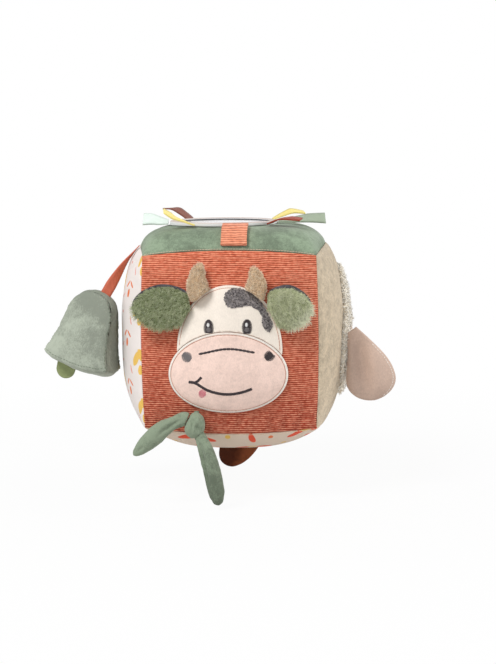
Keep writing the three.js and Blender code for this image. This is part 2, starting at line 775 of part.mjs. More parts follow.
// The bell's front and back are crowned panels, and a gusset runs right round between them.
const bellPanelShares = [0, 0.35, 0.65, 0.87, 1];
function bellPanel(direction) {
  const height = (inset) => (x, y, share) =>
    direction * (bellHalfDepth(y) + bell.crown * dome(share) - inset);
  const rows = [
    ...bellPanelShares.map((share) => ({ share, height: height(0) })),
    ...[...bellPanelShares].reverse().map((share) => ({ share, height: height(cloth) })),
  ];
  return quilt(grown(bellOutline, -seamGap), bellMiddle, direction > 0 ? rows : rows.reverse());
}
piece("bell_front_panel", bellPanel(1), materials.sageVelour, bellFrame);
piece("bell_back_panel", bellPanel(-1), materials.sageVelour, bellFrame);

// Across the gusset, the section runs from the back seam over its outside to the front seam, and back inside.
const gussetShares = [-1, -0.6, 0, 0.6, 1];
function bellGusset() {
  const section = [
    ...gussetShares.map((share) => ({ share, inset: 0 })),
    ...[...gussetShares].reverse().map((share) => ({ share, inset: cloth })),
  ];
  return closedBand(bellColumns, section.length, (j, column) => {
    const { share, inset } = section[j];
    const p = bellOutline[column];
    const y = bellMiddle.y + p.y;
    const moved = p.clone().setLength(p.length() + bellBulge(y) * (1 - share * share) - inset);
    const reach = bellHalfDepth(y) - cloth - gap;
    return new THREE.Vector3(bellMiddle.x + moved.x, bellMiddle.y + moved.y, share * reach);
  });
}
piece("bell_gusset", bellGusset(), materials.sageVelour, bellFrame);

const bellFillingShares = [0, 0.4, 0.75, 1];
function bellFilling() {
  const height = (direction) => (x, y, share) =>
    direction * (bellHalfDepth(y) - cloth - 2 * gap + (bell.crown - cloth) * dome(share));
  const rows = [
    ...bellFillingShares.map((share) => ({ share, height: height(1) })),
    ...[...bellFillingShares].reverse().map((share) => ({ share, height: height(-1) })),
  ];
  return quilt(grown(bellOutline, -cloth - gap), bellMiddle, rows);
}
piece("bell_filling", bellFilling(), materials.fibre, bellFrame);

// The clapper: a felt disc that shows under the bell, cut straight where it is sewn to the gusset
const clapperPlaceShare = -0.41;
const clapperSides = 20;
const bellBottom = bellOutlineShares[0][1] * bell.height - bell.bottomBulge;
const clapperDisc = new THREE.CylinderGeometry(
  clapper.radius,
  clapper.radius,
  clapper.thickness,
  clapperSides,
).rotateX(Math.PI / 2);
const clapperCutter = new THREE.BoxGeometry(2 * clapper.radius, clapper.radius, clapper.radius).translate(
  0,
  clapper.below + clapper.radius / 2,
  0,
);
piece(
  "bell_clapper",
  cut(clapperDisc, clapperCutter).translate(
    clapperPlaceShare * bell.halfWidth,
    bellBottom - gap - clapper.below,
    0,
  ),
  materials.oliveFelt,
  bellFrame,
);

// The bell's ribbon: sewn into the top left seam, it bows and turns a quarter on its way down to the bell
const ribbonRoot = new THREE.Vector3(-seamOut, -bellRibbon.forward, seamOut);
const ribbonPathShares = [[0, 0], [0.33, 1], [0.66, 0.7], [1, 0]];
const ribbonSteps = 12;
const bowOut = new THREE.Vector3(-1, 0, 1).normalize();
const quarterTurn = Math.PI / 2;
piece(
  "bell_ribbon",
  strap({
    path: ribbonPathShares.map(([along, bow]) =>
      ribbonRoot.clone().lerp(bellLean.position, along).addScaledVector(bowOut, bow * bellRibbon.bow),
    ),
    width: bellRibbon.width,
    thickness: ribbonThickness,
    acrossAt: (along) => new THREE.Vector3(Math.sin(along * quarterTurn), Math.cos(along * quarterTurn), 0),
    steps: ribbonSteps,
  }),
  materials.terracottaRibbon,
  block,
);

// The sheep's head on the right panel: a scalloped pad of wool round a velour face
const woolColumns = 44;
const scallops = 11;
const woolOutline = ovalOutline(wool, woolColumns).map((p, i) => {
  const wave = Math.abs(Math.sin((Math.PI * scallops * i) / woolColumns));
  return p.setLength(p.length() - wool.scallop * (1 - wave));
});
const faceColumns = 20;
const sheepFaceOutline = ovalOutline(sheepFace, faceColumns);
piece(
  "sheep_wool",
  cut(pad("right", wool, woolOutline, woolRim), prism(grown(sheepFaceOutline, gap), sheepFace)),
  materials.whiteWool,
  faces.right,
);
piece("sheep_face", pad("right", sheepFace, sheepFaceOutline, woolRim), materials.blushVelour, faces.right);

// Each sheep's ear stands out from the wool and droops.
const sheepEarPlaceShares = [0.67, 0.05];
const sheepEarPathShares = [
  [0, 0, 0], [0.016, -0.18, 0.08], [0.042, -0.47, 0.185], [0.036, -0.76, 0.245], [0.026, -1.04, 0.295],
];
const sheepEarStationShares = [
  [0, 0], [0, 0.3], [0.12, 0.46], [0.28, 0.66], [0.46, 0.85], [0.62, 0.98], [0.76, 1], [0.87, 0.84],
  [0.95, 0.54], [1, 0],
];
const sheepEarSides = 14;
const woolCutter = padCutter("right", wool, woolOutline, woolRim, sewClearance);
Object.entries({ front: -1, back: 1 }).forEach(([name, direction]) => {
  const [outShare, upShare] = sheepEarPlaceShares;
  const place = spot(wool, [direction * outShare, upShare]);
  const root = onFace("right", place.x, place.y, sheepEar.lift);
  if (direction > 0) root.y -= sheepEar.backDrop;
  const shape = softLimb({
    path: sheepEarPathShares.map(([across, up, out]) =>
      root.clone().addScaledVector(new THREE.Vector3(direction * across, up, out), sheepEar.length),
    ),
    halfWidth: sheepEar.halfWidth,
    stationShares: sheepEarStationShares,
    over: sheepEar.depth,
    under: sheepEar.depth,
    facing: new THREE.Vector3(-1, 0, 0),
    sides: sheepEarSides,
  });
  piece(`sheep_${name}_ear`, cut(shape, woolCutter), materials.blushVelour, faces.right);
});

// The mirror on the top panel: a thin disc held under the lip of a padded ring
const mirrorSeat = cornerHalf + crowns.top + gap;
const mirrorTop = mirrorSeat + mirror.thickness;
piece(
  "mirror",
  new THREE.CylinderGeometry(mirror.radius, mirror.radius, mirror.thickness, ringColumns)
    .rotateX(Math.PI / 2)
    .translate(mirror.x, 0, mirrorSeat + mirror.thickness / 2),
  materials.mirrorFilm,
  faces.top,
);

// Across the ring, the section runs from its outside foot over its top to the lip, and under the lip back to
// its inside foot.
const ringCrest = mirrorSeat + ring.height;
const lipRadius = mirror.radius - ring.lip;
const ringInside = mirror.radius + gap;
const crestRadius = (ring.outer + lipRadius) / 2;
const ringSection = [
  { radius: ring.outer, height: (bed) => bed },
  { radius: ring.outer, height: () => ringCrest - 2 * ring.bevel },
  { radius: ring.outer - ring.bevel, height: () => ringCrest - ring.bevel / 2 },
  { radius: crestRadius, height: () => ringCrest },
  { radius: lipRadius + ring.bevel, height: () => ringCrest - ring.bevel / 2 },
  { radius: lipRadius, height: () => ringCrest - ring.bevel },
  { radius: lipRadius, height: () => mirrorTop + gap },
  { radius: ringInside, height: () => mirrorTop + gap },
  { radius: ringInside, height: (bed) => bed },
];
piece(
  "mirror_ring",
  closedBand(ringColumns, ringSection.length, (j, column) => {
    const angle = (2 * Math.PI * column) / ringColumns;
    const { radius, height } = ringSection[j];
    const x = mirror.x + radius * Math.cos(angle);
    const y = radius * Math.sin(angle);
    return new THREE.Vector3(x, y, height(surfaceAt("top", x, y) + gap));
  }),
  materials.blushVelour,
  faces.top,
);

// Six ribbon tags stand out from the edge of the ring. Each has its place round the ring, the way it points,
// how long it is, how far it rises by each third of its length, and how it rolls from its root to its end.
const tagShapes = {
  mint_ribbon: {
    place: 180, heading: 184, length: 16, riseShares: [0, 0.02, 0.02], rolls: [12, 30],
    material: materials.mintRibbon,
  },
  brown_ribbon: {
    place: 130, heading: 160, length: 15, riseShares: [0.14, 0.3, 0.32], rolls: [-6, -24],
    material: materials.brownRibbon,
  },
  back_yellow_ribbon: {
    place: 35, heading: 8, length: 18, riseShares: [0.04, 0.12, 0.12], rolls: [8, 24],
    material: materials.yellowRibbon,
  },
  sage_ribbon: {
    place: 2, heading: 3, length: 26, riseShares: [0.02, 0.03, 0.02], rolls: [0, -28],
    material: materials.sageRibbon,
  },
  terracotta_ribbon: {
    place: -37, heading: -12, length: 18.5, riseShares: [0.09, 0.05, -0.02], rolls: [0, 10],
    material: materials.terracottaRibbon,
  },
  front_yellow_ribbon: {
    place: 246, heading: 188, length: 18, riseShares: [0.05, 0.04, 0.17], rolls: [0, -12],
    material: materials.yellowRibbon,
  },
};
const tagSteps = 6;
Object.entries(tagShapes).forEach(([name, { place, heading, length, riseShares, rolls, material }]) => {
  const placeAngle = THREE.MathUtils.degToRad(place);
  const headingAngle = THREE.MathUtils.degToRad(heading);
  const outward = new THREE.Vector3(Math.cos(headingAngle), Math.sin(headingAngle), 0);
  const sideways = new THREE.Vector3(Math.sin(headingAngle), -Math.cos(headingAngle), 0);
  const turnedBack = (tag.width / 2) * Math.abs(Math.sin(headingAngle - placeAngle));
  const rootRadius = ring.outer + tag.rootClear + turnedBack;
  const root = new THREE.Vector3(
    mirror.x + rootRadius * Math.cos(placeAngle),
    rootRadius * Math.sin(placeAngle),
    ringCrest - tag.below,
  );
  piece(
    name,
    strap({
      path: [0, ...riseShares].map((rise, third) =>
        root
          .clone()
          .addScaledVector(outward, (third / riseShares.length) * length)
          .addScaledVector(outOfFace, rise * length),
      ),
      width: tag.width,
      thickness: ribbonThickness,
      acrossAt: (along) => {
        const roll = THREE.MathUtils.degToRad(THREE.MathUtils.lerp(...rolls, along));
        return sideways.clone().multiplyScalar(Math.cos(roll)).addScaledVector(outOfFace, Math.sin(roll));
      },
      steps: tagSteps,
    }),
    material,
    faces.top,
  );
});

// The pull tab: a folded square of corduroy that hangs from the ring over the front of the top panel
const tabSteps = 8;
const tabDistanceShares = [0, 0.3, 0.55, 0.74, 0.88, 1];
const tabRoot = -Math.sqrt(ring.outer ** 2 - (pullTab.x - mirror.x) ** 2) - pullTab.thickness;
piece(
  "pull_tab",
  strap({
    path: tabDistanceShares.map((down) =>
      onFace(
        "top",
        pullTab.x,
        tabRoot - down * pullTab.length,
        THREE.MathUtils.lerp(pullTab.lift, pullTab.tipLift, down),
      ),
    ),
    width: pullTab.width,
    thickness: pullTab.thickness,
    acrossAt: () => new THREE.Vector3(1, 0, 0),
    steps: tabSteps,
  }),
  materials.corduroy,
  faces.top,
);

// The tail tab: a leaf of suede that hangs from the bottom seam at the back
const tailPathShares = [[0, 0, 0], [-0.01, 0.04, -0.3], [-0.15, 0.04, -0.65], [-0.38, -0.03, -0.97]];
const tailStationShares = [
  [0, 0], [0, 0.5], [0.12, 0.66], [0.3, 0.86], [0.5, 1], [0.68, 0.98], [0.82, 0.84], [0.92, 0.62],
  [0.98, 0.34],
  [1, 0],
];
const tailSides = 12;
const tailOut = cornerHalf + edgeBow + tail.rootClear;
const tailRoot = new THREE.Vector3(tail.x, tailOut, -tailOut);
piece(
  "tail_tab",
  softLimb({
    path: tailPathShares.map((shares) =>
      tailRoot.clone().addScaledVector(new THREE.Vector3(...shares), tail.length),
    ),
    halfWidth: tail.halfWidth,
    stationShares: tailStationShares,
    over: tail.thickness,
    under: tail.thickness,
    facing: new THREE.Vector3(0, -1, 0),
    sides: tailSides,
  }),
  materials.brownSuede,
  block,
);

export default new THREE.Group().add(block);
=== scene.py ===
# %% Load the solid model
import math

import bmesh
import bpy
from mathutils import Euler, Matrix, Vector, noise
from mathutils.bvhtree import BVHTree
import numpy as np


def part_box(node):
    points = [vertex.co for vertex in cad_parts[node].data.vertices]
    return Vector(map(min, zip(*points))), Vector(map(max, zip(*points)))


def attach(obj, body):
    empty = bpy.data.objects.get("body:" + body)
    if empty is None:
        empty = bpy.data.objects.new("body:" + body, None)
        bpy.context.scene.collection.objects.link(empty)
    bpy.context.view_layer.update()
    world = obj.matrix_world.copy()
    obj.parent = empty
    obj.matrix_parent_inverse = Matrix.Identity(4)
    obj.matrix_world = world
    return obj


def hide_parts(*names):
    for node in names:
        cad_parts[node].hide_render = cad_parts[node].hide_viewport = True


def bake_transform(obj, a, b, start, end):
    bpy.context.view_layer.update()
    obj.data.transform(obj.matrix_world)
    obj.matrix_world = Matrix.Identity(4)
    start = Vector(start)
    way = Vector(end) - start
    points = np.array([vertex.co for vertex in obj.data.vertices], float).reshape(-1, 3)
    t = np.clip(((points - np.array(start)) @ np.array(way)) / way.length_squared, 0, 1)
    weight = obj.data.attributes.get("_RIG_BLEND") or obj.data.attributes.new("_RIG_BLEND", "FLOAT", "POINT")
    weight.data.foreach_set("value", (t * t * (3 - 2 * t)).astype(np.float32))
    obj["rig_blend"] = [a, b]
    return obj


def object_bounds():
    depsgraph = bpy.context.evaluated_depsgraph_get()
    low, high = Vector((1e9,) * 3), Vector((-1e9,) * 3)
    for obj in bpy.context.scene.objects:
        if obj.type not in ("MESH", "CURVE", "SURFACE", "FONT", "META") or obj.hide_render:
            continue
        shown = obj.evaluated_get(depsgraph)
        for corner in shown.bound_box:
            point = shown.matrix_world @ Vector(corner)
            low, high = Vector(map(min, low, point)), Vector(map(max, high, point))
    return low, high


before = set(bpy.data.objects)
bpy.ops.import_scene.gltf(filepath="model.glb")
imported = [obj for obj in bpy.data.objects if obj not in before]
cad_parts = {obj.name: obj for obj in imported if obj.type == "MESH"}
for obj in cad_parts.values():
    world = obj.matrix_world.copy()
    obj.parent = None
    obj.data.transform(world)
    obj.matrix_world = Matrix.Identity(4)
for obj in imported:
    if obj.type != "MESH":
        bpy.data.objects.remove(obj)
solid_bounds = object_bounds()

print("solid nodes:", len(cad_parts))

# %% [markdown]
# A soft activity block is sewn from six panels of different cloth round loose filling. Everything on it is
# soft, so every solid of the frame gets a cloth piece of its own here. Sizes are in metres, and the crowned
# faces follow the same few driving sizes as the solid model, so that what is sewn on sits where it should.

# %% Driving sizes
mm = 0.001
corner_half = 47.5 * mm
edge_bow = 3 * mm
upright_bow = 1.2 * mm
crowns = {"front": 9, "back": 12, "left": 15.6, "right": 15, "top": 14, "bottom": 16.5}
crown_powers = {"front": 2.4, "back": 2.4, "left": 3.2, "right": 2.8, "top": 8, "bottom": 3}
stand_depth = 0.5 * mm
centre_height = corner_half + crowns["bottom"] * mm - stand_depth
air = 0.3 * mm
weld = 0.01 * mm

# %% [markdown]
# Each face of the block has its own right, up and out directions. A point of a face is found from two shares,
# u and v, which run from -1 to 1 between the seams: the seams bow outwards, and the middle is crowned.

# %% The six crowned faces
faces = {
    "front": (Vector((1, 0, 0)), Vector((0, 0, 1)), Vector((0, -1, 0))),
    "back": (Vector((-1, 0, 0)), Vector((0, 0, 1)), Vector((0, 1, 0))),
    "left": (Vector((0, -1, 0)), Vector((0, 0, 1)), Vector((-1, 0, 0))),
    "right": (Vector((0, 1, 0)), Vector((0, 0, 1)), Vector((1, 0, 0))),
    "top": (Vector((1, 0, 0)), Vector((0, 1, 0)), Vector((0, 0, 1))),
    "bottom": (Vector((1, 0, 0)), Vector((0, -1, 0)), Vector((0, 0, -1))),
}
centre = Vector((0, 0, centre_height))


def side_bow(side):
    """The bow of the seams to the left and right of a face: less where they stand upright."""
    return edge_bow if side in ("top", "bottom") else upright_bow


def height_out(side, u, v):
    """How far out of the block's middle a face lies."""
    power = crown_powers[side]
    full = (1 - abs(u) ** power) * (1 - abs(v) ** power)
    seam_rise = edge_bow * (1 - u * u) + side_bow(side) * u * u * (1 - v * v)
    out = corner_half + seam_rise + (crowns[side] * mm - edge_bow) * full
    return min(out, centre_height) if side == "bottom" else out


def place_on(side, x, y, out):
    """The point x right, y up and out from the block's middle, in the frame of a face."""
    right, up, outward = faces[side]
    return centre + right * x + up * y + outward * out


def face_point(side, u, v, lift=0.0):
    """The point of a face at two shares of its half size, lifted off it."""
    x = u * (corner_half + side_bow(side) * (1 - v * v))
    y = v * (corner_half + edge_bow * (1 - u * u))
    return place_on(side, x, y, height_out(side, u, v) + lift)


shoulder_out = {"left": 2.4 * mm, "right": 1.6 * mm}
shoulder_up = {"left": 0.6 * mm, "right": 0.8 * mm}
shoulder = {"from": 32 * mm, "to": 50 * mm, "height": 48 * mm, "reach": 26 * mm, "depth": 46 * mm}


def fade(share):
    return math.cos(min(1.0, abs(share)) * math.pi / 2) ** 2


def squeezed(point):
    """Moves a point as the filling squeezes the block's shoulders out."""
    side = "left" if point.x < 0 else "right"
    share = max(0.0, min(1.0, (abs(point.x) - shoulder["from"]) / (shoulder["to"] - shoulder["from"])))
    weight = share * share * (3 - 2 * share)
    weight *= fade((point.z - centre_height - shoulder["height"]) / shoulder["reach"])
    weight *= fade(point.y / shoulder["depth"])
    return point + Vector((math.copysign(shoulder_out[side], point.x), 0, shoulder_up[side])) * weight


solve_steps = 6


def surface_out(side, x, y):
    """How far out a face lies at x right and y up from its middle."""
    u = v = 0.0
    for _ in range(solve_steps):
        next_u = max(-1, min(1, x / (corner_half + side_bow(side) * (1 - v * v))))
        v = max(-1, min(1, y / (corner_half + edge_bow * (1 - u * u))))
        u = next_u
    return height_out(side, u, v)


# %% [markdown]
# Materials are built from nodes. To keep their sums readable, one small class wraps a socket and gives it
# Python's operators, so that an expression such as 1 - mask adds the Math node by itself.

# %% A socket that can be added and multiplied
class Signal:
    """A socket of a material, for use in sums."""

    def __init__(self, finish, socket):
        self.finish, self.socket = finish, socket

    def math(self, operation, *others):
        return self.finish.node("ShaderNodeMath", {"operation": operation}, self, *others)

    def __add__(self, other):
        return self.math("ADD", other)

    def __sub__(self, other):
        return self.math("SUBTRACT", other)

    def __rsub__(self, other):
        return self.finish.node("ShaderNodeMath", {"operation": "SUBTRACT"}, other, self)

    def __mul__(self, other):
        return self.math("MULTIPLY", other)

    def __truediv__(self, other):
        return self.math("DIVIDE", other)

    def clamped(self, low=0.0, high=1.0):
        return self.math("MAXIMUM", low).math("MINIMUM", high)

    __radd__ = __add__
    __rmul__ = __mul__


# %% [markdown]
# A cloth's material has one shader, Blender's Principled one, and a small tree of nodes that feeds it. This
# class makes such a material and adds its nodes with short calls, so that each cloth below is a few lines.
# Colours are given as they are seen and turned into the linear values that a shader takes.

# %% A material and its node maker
def linear(red, green, blue):
    """A colour as it is seen, from 0 to 255, as Blender's shaders take it."""
    shares = [c / 255 for c in (red, green, blue)]
    return (*[s / 12.92 if s <= 0.04045 else ((s + 0.055) / 1.055) ** 2.4 for s in shares], 1.0)


cloths = {}


class Finish:
    """A Principled material with short calls for its nodes, kept in the table of cloths."""

    def __init__(self, name, roughness=0.9, sheen=0.0, metallic=0.0):
        self.material = cloths[name] = bpy.data.materials.new(name)
        self.material.use_nodes = True
        self.tree = self.material.node_tree
        self.shader = self.tree.nodes["Principled BSDF"]
        self.shader.inputs["Roughness"].default_value = roughness
        self.shader.inputs["Sheen Weight"].default_value = sheen
        self.shader.inputs["Sheen Roughness"].default_value = 0.4
        self.shader.inputs["Metallic"].default_value = metallic
        self.shader.inputs["Specular IOR Level"].default_value = 0.25

    def plug(self, target, value):
        if isinstance(value, Signal):
            self.tree.links.new(value.socket, target)
        else:
            target.default_value = value

    def node(self, kind, settings, *values, output=0, **named):
        made = self.tree.nodes.new(kind)
        for name, value in settings.items():
            if name == "stops":
                ramp = made.color_ramp.elements
                while len(ramp) < len(value):
                    ramp.new(0.5)
                for element, (place, colour) in zip(ramp, value):
                    element.position, element.color = place, colour
            else:
                setattr(made, name, value)
        for target, value in zip(made.inputs, values):
            self.plug(target, value)
        for name, value in named.items():
            self.plug(made.inputs[name], value)
        return Signal(self, made.outputs[output])

    def place(self, scale=(1, 1, 1), turn=(0, 0, 0), shift=(0, 0, 0)):
        """Object coordinates in metres, turned and scaled."""
        spot = self.node("ShaderNodeTexCoord", {}, output="Object")
        return self.node("ShaderNodeMapping", {}, spot, Scale=scale, Rotation=turn, Location=shift)

    def noise(self, size, detail=2.0, where=None, rough=0.5, wobble=0.0):
        """Cloudy noise from 0 to 1, in patches of a size in metres."""
        spot = where or self.place()
        return self.node(
            "ShaderNodeTexNoise", {}, Vector=spot, Scale=1 / size, Detail=detail, Roughness=rough,
            Distortion=wobble,
        )

    def ramp(self, value, *stops):
        return self.node("ShaderNodeValToRGB", {"stops": stops}, value)

    def mix(self, mask, first, second):
        made = self.tree.nodes.new("ShaderNodeMix")
        made.data_type = "RGBA"
        sockets = {s.identifier: s for s in made.inputs}
        self.plug(sockets["Factor_Float"], mask)
        self.plug(sockets["A_Color"], first)
        self.plug(sockets["B_Color"], second)
        return Signal(self, [s for s in made.outputs if s.identifier == "Result_Color"][0])

    def axes(self, spot):
        """The three parts of a place."""
        made = self.tree.nodes.new("ShaderNodeSeparateXYZ")
        self.plug(made.inputs[0], spot)
        return [Signal(self, output) for output in made.outputs]

    def colour(self, value):
        self.plug(self.shader.inputs["Base Color"], value)

    def bump(self, height, depth, strength=1.0):
        """Relief of a depth in metres."""
        normal = self.node("ShaderNodeBump", {}, Height=height, Distance=depth, Strength=strength)
        self.plug(self.shader.inputs["Normal"], normal)


def shade(colour, factor):
    """A lighter or darker version of a colour."""
    return (*[min(1.0, c * factor) for c in colour[:3]], 1.0)


# %% [markdown]
# Corduroy is a cotton pile cut into fine ribs, called wales. Here they run level across the front, one every
# 1.15 mm. A wave along the height makes them, and cloudy noise bends them a little and breaks them up. The
# furrows between them get painted shade, because light doesn't get down there, and the tops of the ribs get a
# painted highlight. Given a rise, the colour is also painted darker towards the bottom, as painted shade
# where less light falls.

# %% Corduroy
def corduroy(name, low_colour, high_colour, pitch, axis=2, rise=None):
    cloth = Finish(name, roughness=0.95, sheen=0.2)
    parts = cloth.axes(cloth.place())
    wobble = (cloth.noise(9 * mm, 2) - 0.5) * (1.1 * mm)
    wave = ((parts[axis] + wobble) * (2 * math.pi / pitch)).math("SINE") * 0.5 + 0.5
    streak = cloth.noise(1.1 * mm, 3, cloth.place(scale=(0.42, 1, 1)))
    speck = cloth.noise(1.6 * mm, 3)
    rubbed = cloth.noise(20 * mm, 3)
    colour = low_colour
    # Painted shade: the colour darkens from high_colour at the top seam to low_colour at the bottom.
    if rise:
        share = (parts[2] - rise[0]) / (rise[1] - rise[0])
        colour = cloth.mix(share.clamped(), low_colour, high_colour)
    tone = (wave - 0.5) * 0.7 + (streak - 0.5) * 1.1 + (speck - 0.5) * 0.65 + (rubbed - 0.5) * 0.3
    # Painted shade in the furrows and a painted highlight on the rib tops.
    dark = (tone * -1.5).clamped(0.0, 0.75)
    pale = (tone * 1.3).clamped(0.0, 0.6)
    furrow_shaded = cloth.mix(dark, colour, shade(low_colour, 0.3))
    cloth.colour(cloth.mix(pale, furrow_shaded, linear(252, 190, 156)))
    cloth.bump(wave * 0.7 + streak * 0.6, 0.35 * mm, 0.7)


# %% [markdown]
# Velour is a knitted cloth with a short cut pile. Where a hand has stroked it the pile lies over and catches
# the light, so its colour comes in soft patches, and up close it is finely grained. Two sizes of noise give
# both, and a little sheen lights its edges. A nap, where one is given, paints the cloth lighter towards one
# side and darker towards the other: painted light and painted shade.

# %% Velour
def velour(
    name, colour, patch=14 * mm, depth=0.22, grain_depth=0.3 * mm, sheen=0.2, fleck=0.8, cloud=1.1, nap=None
):
    cloth = Finish(name, roughness=0.92, sheen=sheen)
    stroked = cloth.noise(patch, 3, wobble=0.6)
    hairs = cloth.noise(0.6 * mm, 2, cloth.place(scale=(1, 1, 0.6)))
    flecks = cloth.noise(1.9 * mm, 3)
    tone = (stroked - 0.5) * cloud + (flecks - 0.5) * fleck + (hairs - 0.5) * 0.9 + 0.5
    # Painted light and shade: the tone rises towards one side, along the nap's direction.
    if nap:
        direction, start, reach = nap
        x, _, z = cloth.axes(cloth.place())
        far = (x * direction[0] + z * direction[1] - start) / reach
        tone = tone + far.clamped(-1.0) * 0.36
    stops = (0.2, shade(colour, 1 - depth)), (0.5, colour), (0.8, shade(colour, 1 + depth))
    cloth.colour(cloth.ramp(tone, *stops))
    cloth.bump(hairs * 0.6 + flecks * 0.6, grain_depth, 0.7)


# %% [markdown]
# Long pile, such as the sheep's wool and the green plush, is made below of real tufts. Their material only
# has to vary from tuft to tuft, with painted shade towards their roots, where the tufts lie close together,
# and paler tips in clumps, which are partly the pile's own tone and partly a painted highlight.

# %% Pile
def pile(name, colour, root_shade, tip, patch, sheen=0.2, pale_edge=None):
    cloth = Finish(name, roughness=1.0, sheen=sheen)
    rise = cloth.node("ShaderNodeAttribute", {"attribute_name": "rise"}, output="Fac")
    clump = cloth.noise(patch, 3, wobble=1.0)
    strand = cloth.noise(0.8 * mm, 2)
    # Painted shade: each tuft darkens from its tip towards its root.
    body = cloth.mix(rise * 1.4, root_shade, colour)
    # Paler tips: partly the pile's own clumped tone, partly a painted highlight.
    tone = (clump * 0.75 + strand * 0.25 - 0.42) * 2.4 + rise * 0.4 - 0.2
    if pale_edge:
        direction, start, reach = pale_edge
        x, _, z = cloth.axes(cloth.place())
        far = (x * direction[0] + z * direction[1] - start) / reach
        tone = tone + far.math("MAXIMUM", 0.0)
    cloth.colour(cloth.mix(tone.clamped(), body, tip))


# %% [markdown]
# The small cloths are each made by two or three patterns. Ribbon is woven, so one wave runs along it and one
# across. Thread and felt are fibres, so fine noise is enough. Bouclé yarn is knotted, and shades from its
# dark hollows to the light tops of its loops.

# %% Woven ribbon, thread and other small cloths
def ribbon(name, colour, turn=(0, 0, 0), shine=0.62):
    cloth = Finish(name, roughness=shine, sheen=0.1)
    spot = cloth.place(turn=turn)
    across, along, _ = cloth.axes(spot)
    weft = (along * (2 * math.pi / (0.7 * mm))).math("SINE") * 0.5 + 0.5
    warp = (across * (2 * math.pi / (0.5 * mm))).math("SINE") * 0.5 + 0.5
    cloud = cloth.noise(5 * mm, 2)
    cloth.colour(cloth.mix(cloud * 0.6 + weft * 0.25, shade(colour, 0.82), shade(colour, 1.15)))
    cloth.bump(weft * 0.7 + warp * 0.3, 0.08 * mm, 0.8)


def thread(name, colour, shine=0.5):
    cloth = Finish(name, roughness=shine, sheen=0.15)
    strand = cloth.noise(0.3 * mm, 2)
    cloud = cloth.noise(3 * mm, 2)
    cloth.colour(cloth.mix(strand * 0.5 + cloud * 0.5, shade(colour, 0.7), shade(colour, 1.3)))
    cloth.bump(strand, 0.06 * mm, 0.6)


def boucle_yarn(name, dark, light):
    cloth = Finish(name, roughness=0.85, sheen=0.1)
    knot = cloth.noise(0.9 * mm, 2)
    strand = cloth.noise(0.25 * mm, 2)
    cloth.colour(cloth.ramp(knot * 0.7 + strand * 0.3, (0.38, dark), (0.62, light)))
    cloth.bump(strand, 0.08 * mm, 0.6)


def felt(name, colour, rough=0.95, depth=0.25):
    cloth = Finish(name, roughness=rough, sheen=0.2)
    fibre = cloth.noise(0.5 * mm, 4, wobble=2.0)
    cloud = cloth.noise(6 * mm, 2)
    cloth.colour(cloth.mix(fibre * 0.6 + cloud * 0.4, shade(colour, 1 - depth), shade(colour, 1 + depth)))
    cloth.bump(fibre, 0.15 * mm, 0.8)


# %% [markdown]
# Suede has a napped face, finely grained by noise. The tail is painted in two halves beside its fold, blurred
# by noise: painted shade on its left half and painted light on its right half, as the fold turns them from
# the lamp. The binding of the mirror's ring is woven in two colours: pale round its foot and pinkish along
# its crest.

# %% Suede and the ring's binding
def suede(name, dark, light, slope, start, reach):
    hide = Finish(name, roughness=0.9, sheen=0.15)
    fibre = hide.noise(0.6 * mm, 3, wobble=1.0)
    cloud = hide.noise(5 * mm, 3)
    x, _, z = hide.axes(hide.place())
    # Painted shade on the left of the fold, painted light on its right.
    side = (x + z * slope - start) / reach + (cloud - 0.5) * 1.2
    turned = side.clamped()
    grain = fibre * 0.6 + cloud * 0.4
    painted_shade_half = hide.mix(grain, shade(dark, 0.7), shade(dark, 1.3))
    painted_light_half = hide.mix(grain, shade(light, 0.7), light)
    hide.colour(hide.mix(turned, painted_shade_half, painted_light_half))
    hide.bump(fibre, 0.12 * mm, 0.7)


def binding(name, foot, crest, height):
    tape = Finish(name, roughness=0.8, sheen=0.1)
    _, _, z = tape.axes(tape.place())
    weave = tape.noise(0.5 * mm, 2)
    up = ((z - height) / (0.5 * mm) + (weave - 0.5)).clamped()
    at_foot = tape.mix(weave, shade(foot, 0.9), foot)
    at_crest = tape.mix(weave, shade(crest, 0.85), crest)
    tape.colour(tape.mix(up, at_foot, at_crest))
    tape.bump(weave, 0.1 * mm, 0.6)


# %% [markdown]
# The mirror is a flexible film, so that it can't break. It is nearly smooth, with a slow wobble that bends
# what it reflects, and a few dull clouds where it has been rubbed.

# %% Mirror film
def mirror_film():
    film = Finish("mirror_film", roughness=0.06, metallic=1.0)
    wobble = film.noise(16 * mm, 2)
    rubbed = film.noise(7 * mm, 4)
    film.colour(film.mix(rubbed, linear(216, 224, 234), linear(236, 240, 244)))
    film.plug(film.shader.inputs["Roughness"], rubbed * 0.12 + 0.02)
    film.bump(wobble, 0.4 * mm, 0.3)


# %% [markdown]
# The left and bottom panels are printed cotton: a pale ground with small leaves and dots, repeated in tiles
# with every second column shifted by half a tile, as a cloth printer's roller does. A motif is an ellipse in
# the tile's own coordinates.

# %% Printed cotton
def oval_mask(cloth, x, y, at, half, turn_degrees, blur=0.12):
    """1 inside a turned ellipse and 0 outside."""
    cosine, sine = math.cos(math.radians(turn_degrees)), math.sin(math.radians(turn_degrees))
    dx, dy = x - at[0], y - at[1]
    along = (dx * cosine + dy * sine) / half[0]
    across = (dy * cosine - dx * sine) / half[1]
    far = along * along + across * across
    return ((1 + blur) - far).math("DIVIDE", 2 * blur).math("MINIMUM", 1.0).math("MAXIMUM", 0.0)


